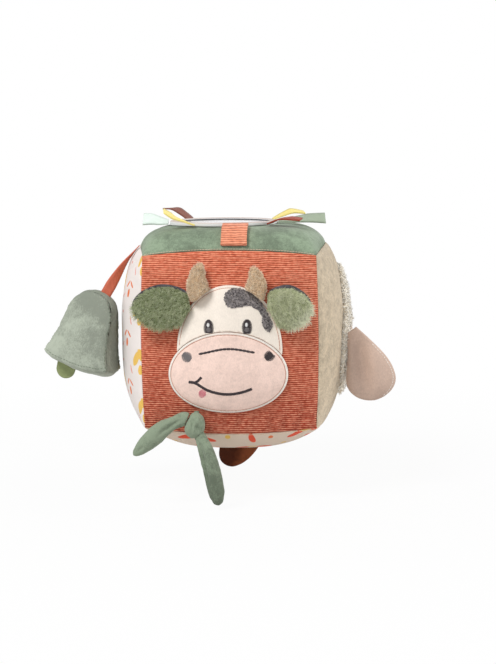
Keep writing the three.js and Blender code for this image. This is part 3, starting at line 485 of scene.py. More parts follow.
def print_cotton(name, ground, tile, axes, motifs):
    cloth = Finish(name, roughness=0.9, sheen=0.1)
    parts = cloth.axes(cloth.place())
    x, y = parts[axes[0]] / tile + 0.13, parts[axes[1]] / tile + 0.31
    column = x.math("FLOOR")
    x = x - column
    y = (y + column * 0.5).math("FRACT")
    weave = cloth.noise(0.4 * mm, 2)
    cloud = cloth.noise(20 * mm, 2)
    colour = cloth.mix(weave * 0.5 + cloud * 0.5, shade(ground, 0.93), shade(ground, 1.05))
    for tint, ovals in motifs:
        for at, half, turn in ovals:
            ink = cloth.mix(weave, shade(tint, 0.85), shade(tint, 1.15))
            colour = cloth.mix(oval_mask(cloth, x, y, at, half, turn), colour, ink)
    cloth.colour(colour)
    warp = (parts[axes[0]] * (2 * math.pi / (0.45 * mm))).math("SINE")
    weft = (parts[axes[1]] * (2 * math.pi / (0.45 * mm))).math("SINE")
    cloth.bump(warp * weft * 0.5 + weave * 0.5, 0.08 * mm, 0.7)


# %% [markdown]
# Every cloth of the block is made once here and found again by its name. Its colour is the one seen in the
# photograph, made a little darker or lighter until the render showed the same. The motifs of a print are
# listed by colour: where an ellipse lies in the tile, its half sizes and its turn.

# %% The cloths of this block
leaf_yellow, petal_orange, petal_red = linear(232, 190, 96), linear(226, 122, 72), linear(226, 84, 54)
leaf_motifs = [
    (leaf_yellow, [
        ((0.3, 0.34), (0.2, 0.075), 66), ((0.46, 0.32), (0.17, 0.07), 118), ((0.37, 0.1), (0.035, 0.1), 0),
    ]),
    (petal_orange, [
        ((0.8, 0.62), (0.05, 0.09), 10), ((0.7, 0.8), (0.1, 0.025), 40), ((0.88, 0.8), (0.1, 0.025), 135),
    ]),
    (petal_red, [
        ((0.12, 0.72), (0.03, 0.03), 0), ((0.62, 0.06), (0.12, 0.012), 70), ((0.1, 0.05), (0.1, 0.012), -35),
    ]),
]
petal_motifs = [
    (petal_red, [
        ((0.3, 0.3), (0.16, 0.07), -28), ((0.72, 0.3), (0.15, 0.07), 22), ((0.52, 0.78), (0.15, 0.06), 80),
    ]),
    (leaf_yellow, [((0.5, 0.22), (0.09, 0.035), 0), ((0.08, 0.7), (0.05, 0.05), 0)]),
    (petal_orange, [((0.86, 0.76), (0.045, 0.045), 0)]),
]
panel_low, panel_high = centre_height - corner_half, centre_height + corner_half
# The front's corduroy is painted darker towards its bottom seam, as painted shade.
corduroy(
    "corduroy", linear(172, 70, 48), linear(216, 108, 78), 1.15 * mm, rise=(panel_low, panel_high),
)
corduroy("tab_corduroy", linear(228, 138, 106), linear(228, 138, 106), 1.15 * mm)
velour("sage_velour", linear(134, 153, 134))
velour("top_velour", linear(127, 143, 121), patch=16 * mm, depth=0.28, cloud=1.7)
# The scarf is painted lighter towards its left end and darker down its hanging right end, and the bell paler
# at its lower left and darker at its upper right: painted light and painted shade.
velour(
    "scarf_velour", linear(120, 132, 113), patch=9 * mm, depth=0.32, fleck=0.6,
    nap=((-0.7, 0.7), 0.012, 0.015),
)
velour(
    "bell_velour", linear(154, 161, 147), patch=16 * mm, depth=0.26, fleck=0.5, cloud=1.5,
    nap=((-0.8, -0.6), 0.028, 0.016),
)
velour("beige_velour", linear(198, 182, 158), patch=5 * mm, depth=0.2, grain_depth=1.2 * mm)
velour("white_velour", linear(238, 228, 216), patch=10 * mm, depth=0.07, sheen=0.1, fleck=0.3)
velour("pink_velour", linear(236, 209, 197), patch=9 * mm, depth=0.1, sheen=0.1)
velour("blush_velour", linear(198, 173, 158), patch=24 * mm, depth=0.12, fleck=0.3)
velour("horn_velour", linear(214, 186, 150), patch=3 * mm, depth=0.3, grain_depth=0.5 * mm)
velour("charcoal_velour", linear(88, 86, 90), patch=5 * mm, depth=0.3)
print_cotton("print_cotton", linear(234, 226, 222), 27 * mm, (1, 2), leaf_motifs)
print_cotton("petal_cotton", linear(224, 206, 188), 30 * mm, (0, 1), petal_motifs)
pile("left_plush", linear(170, 182, 136), linear(120, 132, 92), linear(228, 232, 196), 2.2 * mm)
pile(
    "right_plush", linear(206, 212, 168), linear(168, 176, 132), linear(242, 244, 218), 2.4 * mm,
    pale_edge=((0.8, -0.6), -0.018, 0.006),
)
pile("horn_pile", linear(250, 222, 186), linear(166, 132, 100), linear(255, 252, 236), 1.5 * mm)
pile("white_wool", linear(255, 250, 240), linear(252, 244, 228), linear(255, 254, 250), 4 * mm)
thread("cream_thread", linear(248, 236, 222))
thread("peach_thread", linear(190, 134, 112))
thread("white_thread", linear(245, 243, 240))
thread("dark_thread", linear(58, 50, 52))
thread("grey_thread", linear(118, 113, 114))
boucle_yarn("charcoal_boucle", linear(52, 48, 51), linear(166, 159, 158))
thread("pink_thread", linear(206, 128, 136))
thread("seam_thread", linear(104, 116, 98))
thread("pale_thread", linear(214, 194, 170))
ribbon("terracotta_ribbon", linear(198, 104, 78), turn=(0, math.radians(40), 0))
ribbon("dark_terracotta_ribbon", linear(156, 68, 48))
ribbon("brown_ribbon", linear(132, 82, 70))
ribbon("yellow_ribbon", linear(252, 228, 140))
ribbon("sage_ribbon", linear(160, 173, 152))
ribbon("mint_ribbon", linear(226, 240, 231))
felt("olive_felt", linear(146, 156, 110))
suede("brown_suede", linear(86, 42, 24), linear(150, 84, 50), -0.55, 0.006, 0.006)
binding("ring_binding", linear(226, 226, 226), linear(206, 190, 182), 0.1266)
felt("fibre", linear(150, 140, 132))
mirror_film()
print("materials:", len(cloths))

# %% [markdown]
# These helpers serve all the pieces. finish_piece makes an object of a bmesh and hands it to the frame.
# soft_copy starts a piece from its solid: the loose triangles are joined up, paired into squares and
# subdivided, which turns a faceted limb into a smooth stuffed one. The rest push points about, as a sculptor
# would.

# %% Making, copying and shaping pieces
def mesh_of(name, shape):
    mesh = bpy.data.meshes.new(name)
    shape.to_mesh(mesh)
    shape.free()
    return mesh


def linked(name, data):
    """A new object of some data, in the scene."""
    made = bpy.data.objects.new(name, data)
    bpy.context.scene.collection.objects.link(made)
    return made


def evaluated(made):
    """An object as its modifiers leave it."""
    bpy.context.view_layer.update()
    return made.evaluated_get(bpy.context.evaluated_depsgraph_get())


def finish_piece(name, shape, cloth, body, replaces=(), root=None):
    """An object of a bmesh, dressed in a cloth and riding on a body.

    A root, another body with a start and an end, is where it bends.
    """
    mesh = mesh_of(name, shape)
    mesh.materials.append(cloths[cloth])
    for polygon in mesh.polygons:
        polygon.use_smooth = True
    made = linked(name, mesh)
    if root:
        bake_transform(made, root[0], body, start=tuple(root[1]), end=tuple(root[2]))
    else:
        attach(made, body)
    if replaces:
        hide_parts(*replaces)
    print(name, len(mesh.polygons), "faces")
    return made


sharp_angle = math.radians(48)
fit_rounds = 3


def soft_copy(node, levels=2, crease=0.7):
    """A smooth bmesh through the corners of a solid of the frame."""
    shape = bmesh.new()
    shape.from_mesh(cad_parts[node].data)
    bmesh.ops.remove_doubles(shape, verts=shape.verts, dist=weld)
    bmesh.ops.join_triangles(
        shape, faces=shape.faces, angle_face_threshold=math.radians(40),
        angle_shape_threshold=math.radians(60),
    )
    creases = shape.edges.layers.float.new("crease_edge")
    for edge in shape.edges:
        if len(edge.link_faces) == 2 and edge.calc_face_angle() > sharp_angle:
            edge[creases] = crease
    mesh = mesh_of("start", shape)
    start = linked("start", mesh)
    rounding = start.modifiers.new("rounding", "SUBSURF")
    rounding.levels = rounding.render_levels = levels
    wanted = [v.co.copy() for v in mesh.vertices]
    for _ in range(fit_rounds):
        smooth = evaluated(start).data.vertices
        for vertex, place, reached in zip(mesh.vertices, wanted, smooth):
            vertex.co += (place - reached.co) * 0.8
    bpy.context.view_layer.update()
    made = bmesh.new()
    made.from_object(start, bpy.context.evaluated_depsgraph_get())
    bpy.data.objects.remove(start)
    bpy.data.meshes.remove(mesh)
    return made


def with_normals(shape):
    """Each point with its normal as it is before any point moves."""
    shape.normal_update()
    return [(vertex, vertex.normal.copy()) for vertex in shape.verts]


def lumps(shape, size, depth, seed=0.0, stretch=(1, 1, 1)):
    """Soft uneven filling: points move along their normals by cloudy noise."""
    for vertex, normal in with_normals(shape):
        spot = Vector(c / size * s for c, s in zip(vertex.co, stretch)) + Vector((seed, seed, seed))
        vertex.co += normal * (noise.noise(spot) * depth)


def fold(shape, start, end, depth, width, way=None):
    """Presses a soft valley into a piece along a line, or raises a ridge for a depth below zero.

    With a way, both faces of a thin piece move along it, as a sheet does where it is creased.
    """
    along = end - start
    for vertex, normal in with_normals(shape):
        share = max(0.0, min(1.0, (vertex.co - start).dot(along) / along.length_squared))
        away = (vertex.co - start.lerp(end, share)).length
        ease = math.sin(math.pi * (0.08 + share * 0.84))
        vertex.co += (way or -normal) * (depth * ease * math.exp(-((away / width) ** 2)))


def drawn_in(shape, depth, side=None):
    """Makes a piece smaller by a depth, or only where it faces a side."""
    for vertex, normal in with_normals(shape):
        vertex.co -= normal * (depth * (max(0.0, normal.dot(side)) if side else 1.0))


def swelled(shape, place, depth, reach):
    """Fills a piece out round a place."""
    for vertex, normal in with_normals(shape):
        vertex.co += normal * (depth * math.exp(-(((vertex.co - place).length / reach) ** 2)))


def skin_of(made):
    """A search tree over a finished piece, to find its surface."""
    shape = bmesh.new()
    shape.from_mesh(made.data)
    tree = BVHTree.FromBMesh(shape)
    shape.free()
    return tree


# %% [markdown]
# The cow's head and muzzle are two oval pads on the front. Their outlines are set here, before the panels,
# because the front panel lies flat under them.

# %% Outlines of the pads
head = {"x": 0.4 * mm, "y": -3 * mm, "wide": 28.4 * mm, "tall": 34.8 * mm, "lower": 0.57, "droop": 0.0}
muzzle = {"x": -0.5 * mm, "y": -15.2 * mm, "wide": 32.3 * mm, "tall": 22.3 * mm, "lower": 1.0, "droop": 0.06}


def outline_point(pad, angle):
    up = math.sin(angle) - pad["droop"] * math.cos(angle) ** 2
    lower = 1.0 if up > 0 else pad["lower"]
    return Vector((pad["wide"] * math.cos(angle), pad["tall"] * lower * up))


def inside_outline(pad, x, y, margin):
    """Whether a place on the front lies inside a pad's outline, grown by a margin."""
    dx, dy = x - pad["x"], y - pad["y"]
    edge = outline_point(pad, math.atan2(dy / pad["tall"], dx / pad["wide"]))
    return math.hypot(dx, dy) < edge.length + margin


# %% [markdown]
# Each panel is a sheet of cloth. A plain grid is laid over the crowned face with its rows drawn together
# towards the seams. At a seam the cloth dips into the stitching, and beside it the filling pushes it up
# between the stitches, which is what makes sewn edges look puckered. Solidify gives it its thickness.

# %% The six panels
panel_cells = 110
panel_thickness = 1.1 * mm
seam_stop_share = 0.9985
seam_dip = {"depth": 0.8 * mm, "width": 0.9 * mm}
pucker = {"depth": 0.5 * mm, "reach": 5 * mm, "pitch": 6 * mm, "start": 1.4 * mm}


def puckers(side, u, v):
    """How far the filling pushes the cloth out between the stitches of each seam."""
    seed = 7.3 * list(faces).index(side)
    lift = 0.35 * mm * noise.noise(Vector((u * 3.2, v * 3.2, seed))) * (1 - abs(u) ** 8) * (1 - abs(v) ** 8)
    for across, along in ((u, v), (v, u)):
        away = (1 - abs(across)) * corner_half
        where = along * corner_half / pucker["pitch"]
        ripple = noise.noise(Vector((where * 1.7, seed + (3 if across > 0 else 0), 0)))
        near = math.exp(-away / pucker["reach"]) * (1 - math.exp(-away / pucker["start"]))
        lift += 1.6 * pucker["depth"] * ripple * near
    return lift


def corduroy_folds(u, v):
    """The folds that stand above the lower seam of the front panel."""
    x, up = u * corner_half, (v + 1) * corner_half
    wander = 1.2 * noise.noise(Vector((x / (14 * mm), 0.7, 0)))
    wave = math.sin(2 * math.pi * x / (8.4 * mm) + 0.6 + wander)
    reach = math.exp(-(((up - 6 * mm) / (6.5 * mm)) ** 2)) * (1 - math.exp(-up / (1.5 * mm)))
    return 0.62 * mm * wave * reach * (0.25 + max(0.0, min(1.0, (x + 6 * mm) / (12 * mm))))


def seam_roll(side, u, v):
    """The way the cloth turns in at its seams, halfway between its own face and its neighbour's."""
    right, up, outward = faces[side]
    turn, strongest = Vector(), 0.0
    for across, seam_way in ((u, right), (v, up)):
        weight = math.exp(-(1 - abs(across)) * corner_half / seam_dip["width"])
        turn += seam_way * (math.copysign(1, across) * weight)
        strongest = max(strongest, weight)
    return (turn + outward * strongest) * (-seam_dip["depth"] / math.sqrt(2))


def panel(side, cloth):
    sheet = bmesh.new()
    bmesh.ops.create_grid(sheet, x_segments=panel_cells, y_segments=panel_cells, size=1)
    for vertex in sheet.verts:
        u, v = (math.sin(c * math.pi / 2) * seam_stop_share for c in vertex.co.xy)
        lift = puckers(side, u, v)
        if side == "front":
            lift += corduroy_folds(u, v)
            if any(inside_outline(pad, u * corner_half, v * corner_half, 2 * mm) for pad in (head, muzzle)):
                lift = min(lift, 0.1 * mm)
        if side == "bottom" and height_out(side, u, v) > centre_height - 2 * mm:
            lift = min(lift, 0.0)
        vertex.co = squeezed(face_point(side, u, v, lift) + seam_roll(side, u, v))
    bmesh.ops.recalc_face_normals(sheet, faces=sheet.faces)
    if sheet.faces[0].normal.dot(faces[side][2]) < 0:
        bmesh.ops.reverse_faces(sheet, faces=sheet.faces)
    made = finish_piece(f"{side}_cloth", sheet, cloth, "block", [f"{side}_panel"])
    wall = made.modifiers.new("thickness", "SOLIDIFY")
    wall.thickness = panel_thickness
    wall.offset = -1
    return made


panels = {
    "front": panel("front", "corduroy"),
    "back": panel("back", "sage_velour"),
    "left": panel("left", "print_cotton"),
    "right": panel("right", "beige_velour"),
    "top": panel("top", "top_velour"),
    "bottom": panel("bottom", "petal_cotton"),
}

filling = soft_copy("filling", levels=1)
finish_piece("fibre_filling", filling, "fibre", "block", ["filling"])

# %% [markdown]
# A padded patch such as the cow's head starts from a sphere, whose rings are laid out from the middle of its
# front, over its rim, to the middle of its back. Its outline is an oval. A groove runs round inside the rim,
# where the patch is sewn down, and the cloth swells up from there.

# %% Padded patches on a face
def pad_profile(share, pad_size, thickness, rim):
    """The height of a pad at a share of the way from its middle to its rim."""
    edge = (1 - share) * pad_size
    swell = max(0.0, 1 - min(1.0, share / 0.97) ** 2) ** 0.75
    rim_roll = rim * math.sqrt(max(0.0, 1 - (1 - min(1.0, edge / (0.9 * mm))) ** 2))
    groove = 0.35 * mm * math.exp(-((edge - 1.35 * mm) / (0.4 * mm)) ** 2)
    return rim_roll + (thickness - rim) * swell - groove


def pad_shape(side, pad, thickness, rim, under=None, columns=160, rows=56):
    shape = bmesh.new()
    bmesh.ops.create_uvsphere(shape, u_segments=columns, v_segments=rows, radius=1)
    for vertex in shape.verts:
        ring = math.hypot(vertex.co.x, vertex.co.y)
        angle = math.atan2(vertex.co.y, vertex.co.x)
        share = min(1.0, ring)
        at = outline_point(pad, angle) * share
        x, y = pad["x"] + at.x, pad["y"] + at.y
        size = outline_point(pad, angle).length
        rise = pad_profile(share, size, thickness, rim) if vertex.co.z >= -weld else 0.0
        if under and rise:
            rise += under(x, y) * math.exp(-(1 - share) * size / (5 * mm))
        vertex.co = place_on(side, x, y, surface_out(side, x, y) + air + rise)
    bmesh.ops.recalc_face_normals(shape, faces=shape.faces)
    return shape


def cut_with(made, cutter_shape):
    """Takes one closed shape out of a finished piece."""
    mesh = mesh_of("cutter", cutter_shape)
    cutter = linked("cutter", mesh)
    trim = made.modifiers.new("trim", "BOOLEAN")
    trim.operation, trim.solver, trim.object = "DIFFERENCE", "EXACT", cutter
    trimmed = bpy.data.meshes.new_from_object(evaluated(made))
    made.modifiers.clear()
    old = made.data
    made.data = trimmed
    bpy.data.meshes.remove(old)
    bpy.data.objects.remove(cutter)
    bpy.data.meshes.remove(mesh)


def outline_prism(side, pad, grow, columns=120):
    """A closed prism that stands through a face over a pad's outline."""
    prism = bmesh.new()
    bmesh.ops.create_circle(prism, cap_ends=True, segments=columns, radius=1)
    for vertex in prism.verts:
        at = outline_point(pad, math.atan2(vertex.co.y, vertex.co.x))
        at = at.normalized() * (at.length + grow)
        vertex.co = place_on(side, pad["x"] + at.x, pad["y"] + at.y, 0.5 * corner_half)
    pushed = bmesh.ops.extrude_face_region(prism, geom=prism.faces[:])
    moved = [v for v in pushed["geom"] if isinstance(v, bmesh.types.BMVert)]
    bmesh.ops.translate(prism, verts=moved, vec=faces[side][2] * corner_half)
    bmesh.ops.recalc_face_normals(prism, faces=prism.faces)
    return prism


# %% [markdown]
# The muzzle lies partly on the head. Near its rim it is raised by the height of the head under it, so that
# its bound edge stands in front of the white cloth instead of sinking into it.

# %% The cow's head and muzzle
head_height, head_rim = 4.8 * mm, 1.1 * mm


def head_rise(x, y):
    """How high the head's cloth stands over the front panel at a place."""
    dx, dy = x - head["x"], y - head["y"]
    size = outline_point(head, math.atan2(dy / head["tall"], dx / head["wide"])).length
    share = math.hypot(dx, dy) / size
    return pad_profile(share, size, head_height, head_rim) if share < 1 else 0.0


head_shape = pad_shape("front", head, head_height, head_rim)
head_pad = finish_piece(
    "cow_head", head_shape, "white_velour", "block", ["cow_head_pad"]
)
cut_with(head_pad, outline_prism("front", muzzle, 0.3 * mm))
muzzle_shape = pad_shape("front", muzzle, 6.4 * mm, 1.3 * mm, head_rise)
muzzle_pad = finish_piece(
    "cow_muzzle", muzzle_shape, "pink_velour", "block", ["cow_muzzle_pad"]
)
head_skin, muzzle_skin = skin_of(head_pad), skin_of(muzzle_pad)

# %% [markdown]
# Embroidery is real thread here: each stitch is a long flat bead laid on the cloth. A satin-stitched shape is
# a row of stitches side by side. Its place comes from the solid of that piece in the frame: rays sent through
# it from the front tell where each stitch starts and ends.

# %% Stitches
look = Vector((0, 1, 0))
in_front = -0.3
quarter_turn = Euler((0, math.pi / 2, 0)).to_matrix().to_4x4()


def on_skin(tree, x, z):
    """The point and normal of a surface seen straight from the front."""
    hit, normal, _, _ = tree.ray_cast(Vector((x, in_front, z)), look)
    return hit, normal


def lay_stitch(threads, start, end, normal, width, height, sides=6, rings=5):
    """A bead of thread from start to end."""
    along = end - start
    side_way = normal.cross(along).normalized()
    turn = Matrix((along.normalized(), side_way, normal)).transposed().to_4x4()
    size = Matrix.Diagonal((along.length + width, width, height, 1))
    place = Matrix.Translation((start + end) / 2)
    bmesh.ops.create_uvsphere(
        threads, u_segments=sides, v_segments=rings, radius=0.5, matrix=place @ turn @ size @ quarter_turn
    )


scan_step = 0.12 * mm


def runs_through(tree, start, direction, length):
    """The stretches of a straight scan line that lie over a solid."""
    found, first = [], None
    steps = int(length / scan_step)
    for i in range(steps + 1):
        at = start + direction * (i * scan_step)
        inside = on_skin(tree, at.x, at.z)[0] is not None
        if inside and first is None:
            first = at
        if first is not None and (not inside or i == steps):
            found.append((first, at))
            first = None
    return found


def satin(threads, node, skin, angle, pitch, width=0.5 * mm, height=0.42 * mm, longest=9 * mm):
    """Fills the shape of a solid with stitches at an angle, on the surface that carries it."""
    low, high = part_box(node)
    tree = skin_of(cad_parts[node])
    middle = (low + high) / 2
    reach = (high - low).length
    along = Vector((math.cos(math.radians(angle)), 0, math.sin(math.radians(angle))))
    across = Vector((-along.z, 0, along.x))
    count = int(reach / pitch)
    for row in range(-count // 2, count // 2 + 1):
        start = middle + across * (row * pitch) - along * (reach / 2)
        for first, last in runs_through(tree, start, along, reach):
            pieces = max(1, math.ceil((last - first).length / longest))
            for part in range(pieces):
                a = first.lerp(last, part / pieces)
                b = first.lerp(last, (part + 1) / pieces)
                lay_between(threads, skin, a, b, width, height)


def lay_between(threads, skin, a, b, width, height):
    """One stitch on a surface, between two places seen from the front."""
    start, normal = on_skin(skin, a.x, a.z)
    end, _ = on_skin(skin, b.x, b.z)
    if start and end and (end - start).length > 0.1 * mm:
        lay_stitch(threads, start, end, normal, width, height)


def embroidered(name, node, skin, cloth, slot, angle, pitch=0.36 * mm, **sizes):
    threads = bmesh.new()
    satin(threads, node, skin, angle, pitch, **sizes)
    return finish_piece(name, threads, cloth, "block", [node])


# %% [markdown]
# The eyes, nostrils, tongue and smile are filled with satin stitches, each at the angle that its thread runs
# in. The brow is a single line of running stitches, which nearly touch.

# %% Eyes, nostrils, tongue, brow and smile
embroidered("left_eye_stitches", "cow_left_eye", head_skin, "dark_thread", "dark_thread", 0)
embroidered("right_eye_stitches", "cow_right_eye", head_skin, "dark_thread", "dark_thread", 0)
# The left nostril is the same dark thread as the right; its grey thread is painted sheen where its stitches
# catch the light.
embroidered("left_nostril_stitches", "cow_left_nostril", muzzle_skin, "grey_thread", "dark_thread", 55)
embroidered("right_nostril_stitches", "cow_right_nostril", muzzle_skin, "dark_thread", "dark_thread", 125)
embroidered("tongue_stitches", "cow_tongue", muzzle_skin, "pink_thread", "pink_thread", 64, height=0.3 * mm)
embroidered("smile_stitches", "cow_smile", muzzle_skin, "dark_thread", "dark_thread", 80, width=0.66 * mm)


def running_line(name, node, skin, cloth, dash, step, width):
    """A dashed line of stitches along a thin, nearly level solid."""
    low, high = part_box(node)
    tree = skin_of(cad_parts[node])
    threads = bmesh.new()
    at = low.x + 0.3 * mm
    while at < high.x - dash:
        ends = []
        for x in (at, at + dash):
            found = runs_through(tree, Vector((x, 0, low.z)), Vector((0, 0, 1)), high.z - low.z)
            if found:
                ends.append(Vector((x, 0, (found[0][0].z + found[0][1].z) / 2)))
        if len(ends) == 2:
            lay_between(threads, skin, *ends, width, 0.9 * mm)
        at += step
    return finish_piece(name, threads, cloth, "block", [node])


running_line(
    "brow_stitches", "cow_brow_stitch", muzzle_skin, "dark_thread", dash=1.7 * mm,
    step=2.1 * mm, width=1.3 * mm,
)

# %% [markdown]
# Each eye has a white glint near its top and a paler lower half, stitched over the dark ones. They have no
# solid of their own, so they are small ovals placed in shares of the eye's box.

# %% Eye glints
def small_oval(threads, skin, node, place_shares, half_shares, pitch, width=0.42 * mm, height=0.5 * mm):
    low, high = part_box(node)
    middle = Vector(
        (low.x + (high.x - low.x) * place_shares[0], 0, low.z + (high.z - low.z) * place_shares[1])
    )
    half = ((high.x - low.x) * half_shares[0], (high.z - low.z) * half_shares[1])
    rows = max(1, int(half[1] / pitch))
    for row in range(-rows, rows + 1):
        rise = row * pitch
        reach = half[0] * math.sqrt(max(0.0, 1 - (rise / half[1]) ** 2))
        if reach > 0.15 * mm:
            a = middle + Vector((-reach, 0, rise))
            b = middle + Vector((reach, 0, rise))
            lay_between(threads, skin, a, b, width, height)


glints, irises = bmesh.new(), bmesh.new()
for eye in ("cow_left_eye", "cow_right_eye"):
    small_oval(irises, head_skin, eye, (0.5, 0.34), (0.26, 0.14), 0.34 * mm, height=0.62 * mm)
    small_oval(glints, head_skin, eye, (0.46, 0.66), (0.13, 0.12), 0.3 * mm, height=1.0 * mm)
finish_piece("eye_glints", glints, "white_thread", "block")
finish_piece("eye_irises", irises, "grey_thread", "block")

# %% [markdown]
# The muzzle's edge is bound with a wide satin stitch: several hundred short stitches that all point to its
# middle. Inside them runs a thin peach line. The head has the same thin line inside its turned edge.

# %% Bound edges
def bound_edge(name, pad, skin, cloth, inset, width, pitch, height, replaces=(), keep=lambda at: True):
    threads = bmesh.new()
    around = 2 * math.pi
    angle = 0.0
    while angle < around:
        edge = outline_point(pad, angle)
        step = pitch / max(edge.length, 1 * mm)
        outer = edge.normalized() * (edge.length - inset)
        inner = edge.normalized() * (edge.length - inset - width)
        a = place_on("front", pad["x"] + outer.x, pad["y"] + outer.y, 0)
        b = place_on("front", pad["x"] + inner.x, pad["y"] + inner.y, 0)
        if keep(a):
            lay_between(threads, skin, a, b, 0.55 * mm, height)
        angle += step
    return finish_piece(name, threads, cloth, "block", replaces)


def thin_line(name, pad, skin, cloth, inset, dash, keep=lambda at: True):
    threads = bmesh.new()
    angle = 0.0
    while angle < 2 * math.pi:
        edge = outline_point(pad, angle)
        step = dash / max(edge.length, 1 * mm)
        ends = []
        for turn in (angle, angle + step * 0.9):
            at = outline_point(pad, turn)
            at = at.normalized() * (at.length - inset)
            ends.append(place_on("front", pad["x"] + at.x, pad["y"] + at.y, 0))
        if keep(ends[0]) and keep(ends[1]):
            lay_between(threads, skin, *ends, 0.42 * mm, 0.36 * mm)
        angle += step
    return finish_piece(name, threads, cloth, "block")


def outside_muzzle(at):
    return not inside_outline(muzzle, at.x, at.z - centre_height, 0.8 * mm)


bound_edge(
    "muzzle_binding", muzzle, muzzle_skin, "cream_thread", 0.15 * mm, 0.7 * mm, 0.4 * mm,
    0.5 * mm, ["cow_muzzle_border"],
)
thin_line("muzzle_line", muzzle, muzzle_skin, "peach_thread", 1.35 * mm, 1.5 * mm)
thin_line("head_line", head, head_skin, "peach_thread", 1.4 * mm, 1.5 * mm, outside_muzzle)

# %% [markdown]
# A row of small stitches shows along the seams above and below the corduroy, where the thread holds the two
# panels together.

# %% Seam stitches
def seam_stitches(name, side, edge_v, pitch=1.5 * mm, length=1.0 * mm):
    threads = bmesh.new()
    count = int(2 * corner_half * 0.97 / pitch)
    for i in range(count):
        u = 0.97 * (2 * (i + 0.5) / count - 1)
        half = length / 2 / corner_half
        ends = [squeezed(face_point(side, u + way, edge_v, -0.25 * mm)) for way in (-half, half)]
        lay_stitch(threads, *ends, faces[side][2], 0.4 * mm, 0.34 * mm)
    return finish_piece(name, threads, "pale_thread", "block")


seam_stitches("upper_seam_stitches", "top", -0.994)
seam_stitches("lower_seam_stitches", "bottom", 0.992)

# %% [markdown]
# The dark patch is bouclé: a nap of small knotted loops. Beads of thread are set all over the solid's shape,
# on a skewed grid, with every bead nudged and sized by noise.

# %% The patch
def boucle(threads, node, skin, pitch):
    low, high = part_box(node)
    tree = skin_of(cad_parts[node])
    rows = int((high.z - low.z) / (pitch * 0.85)) + 1
    for row in range(rows):
        z = low.z + row * pitch * 0.85
        columns = int((high.x - low.x) / pitch) + 2
        for column in range(columns):
            x = low.x + (column - (row % 2) * 0.5) * pitch
            nudge = noise.noise_vector(Vector((x, z, 0.2)) * 900) * (0.3 * pitch)
            at = Vector((x + nudge.x, 0, z + nudge.y))
            if on_skin(tree, at.x, at.z)[0] is None:
                continue
            hit, normal = on_skin(skin, at.x, at.z)
            if hit:
                size = pitch * (1.25 + 0.4 * nudge.z / (0.3 * pitch))
                place = Matrix.Translation(hit + normal * (0.15 * mm))
                bmesh.ops.create_icosphere(
                    threads, subdivisions=1, radius=0.5, matrix=place @ Matrix.Diagonal((size, size, size, 1))
                )


patch_threads = bmesh.new()
boucle(patch_threads, "cow_patch", head_skin, 0.62 * mm)
finish_piece("patch_boucle", patch_threads, "charcoal_boucle", "block", ["cow_patch"])

# %% [markdown]
# Plush and fleece get real tufts. A tuft is a thin bent cone of three sides. Geometry nodes scatter it over a
# base skin, stand it along the skin's normal with a random lean, and make everything one mesh, which is then
# kept without the nodes. The seed is fixed, yet two runs still place the tufts a little differently.

# %% Tufts
def tuft_object(length, radius, bend, segments=3):
    """A bent cone that stands on the origin, along +Z."""
    shape = bmesh.new()
    bmesh.ops.create_cone(
        shape, cap_ends=False, segments=3, radius1=radius, radius2=radius * 0.12, depth=length
    )
    bmesh.ops.translate(shape, verts=shape.verts, vec=(0, 0, length / 2))
    sides = [e for e in shape.edges if abs(e.verts[0].co.z - e.verts[1].co.z) > length / 2]
    bmesh.ops.subdivide_edges(shape, edges=sides, cuts=segments - 1, use_grid_fill=True)
    rise = shape.verts.layers.float.new("rise")
    for vertex in shape.verts:
        up = vertex.co.z / length
        vertex[rise] = up
        vertex.co.x += bend * length * up * up
        vertex.co.z -= 0.35 * bend * length * up * up
    return linked("tuft", mesh_of("tuft", shape))


def pile_nodes(tuft, density, lean, size_range, seed):
    """A node group that scatters a tuft over a skin."""
    group = bpy.data.node_groups.new("pile", "GeometryNodeTree")
    group.interface.new_socket("Geometry", in_out="INPUT", socket_type="NodeSocketGeometry")
    group.interface.new_socket("Geometry", in_out="OUTPUT", socket_type="NodeSocketGeometry")
    link = group.links.new
    source, result = group.nodes.new("NodeGroupInput"), group.nodes.new("NodeGroupOutput")
    points = group.nodes.new("GeometryNodeDistributePointsOnFaces")
    points.inputs["Density"].default_value = density
    points.inputs["Seed"].default_value = seed
    info = group.nodes.new("GeometryNodeObjectInfo")
    info.inputs["Object"].default_value = tuft
    angles = group.nodes.new("FunctionNodeRandomValue")
    angles.data_type = "FLOAT_VECTOR"
    angles.inputs["Min"].default_value = (-lean, -lean, 0)
    angles.inputs["Max"].default_value = (lean, lean, 2 * math.pi)
    angles.inputs["Seed"].default_value = seed + 1
    as_turn = group.nodes.new("FunctionNodeEulerToRotation")
    turned = group.nodes.new("FunctionNodeRotateRotation")
    turned.rotation_space = "LOCAL"
    sizes = group.nodes.new("FunctionNodeRandomValue")
    sizes.inputs["Min"].default_value = size_range[0]
    sizes.inputs["Max"].default_value = size_range[1]
    sizes.inputs["Seed"].default_value = seed + 2
    copies = group.nodes.new("GeometryNodeInstanceOnPoints")
    real = group.nodes.new("GeometryNodeRealizeInstances")
    size_out = [s for s in sizes.outputs if s.enabled][0]
    angle_out = [s for s in angles.outputs if s.enabled][0]
    link(source.outputs[0], points.inputs["Mesh"])
    link(points.outputs["Points"], copies.inputs["Points"])
    link(info.outputs["Geometry"], copies.inputs["Instance"])
    link(angle_out, as_turn.inputs[0])
    link(points.outputs["Rotation"], turned.inputs[0])
    link(as_turn.outputs[0], turned.inputs[1])
    link(turned.outputs[0], copies.inputs["Rotation"])
    link(size_out, copies.inputs["Scale"])
    link(copies.outputs["Instances"], real.inputs["Geometry"])
    link(real.outputs["Geometry"], result.inputs[0])
    return group


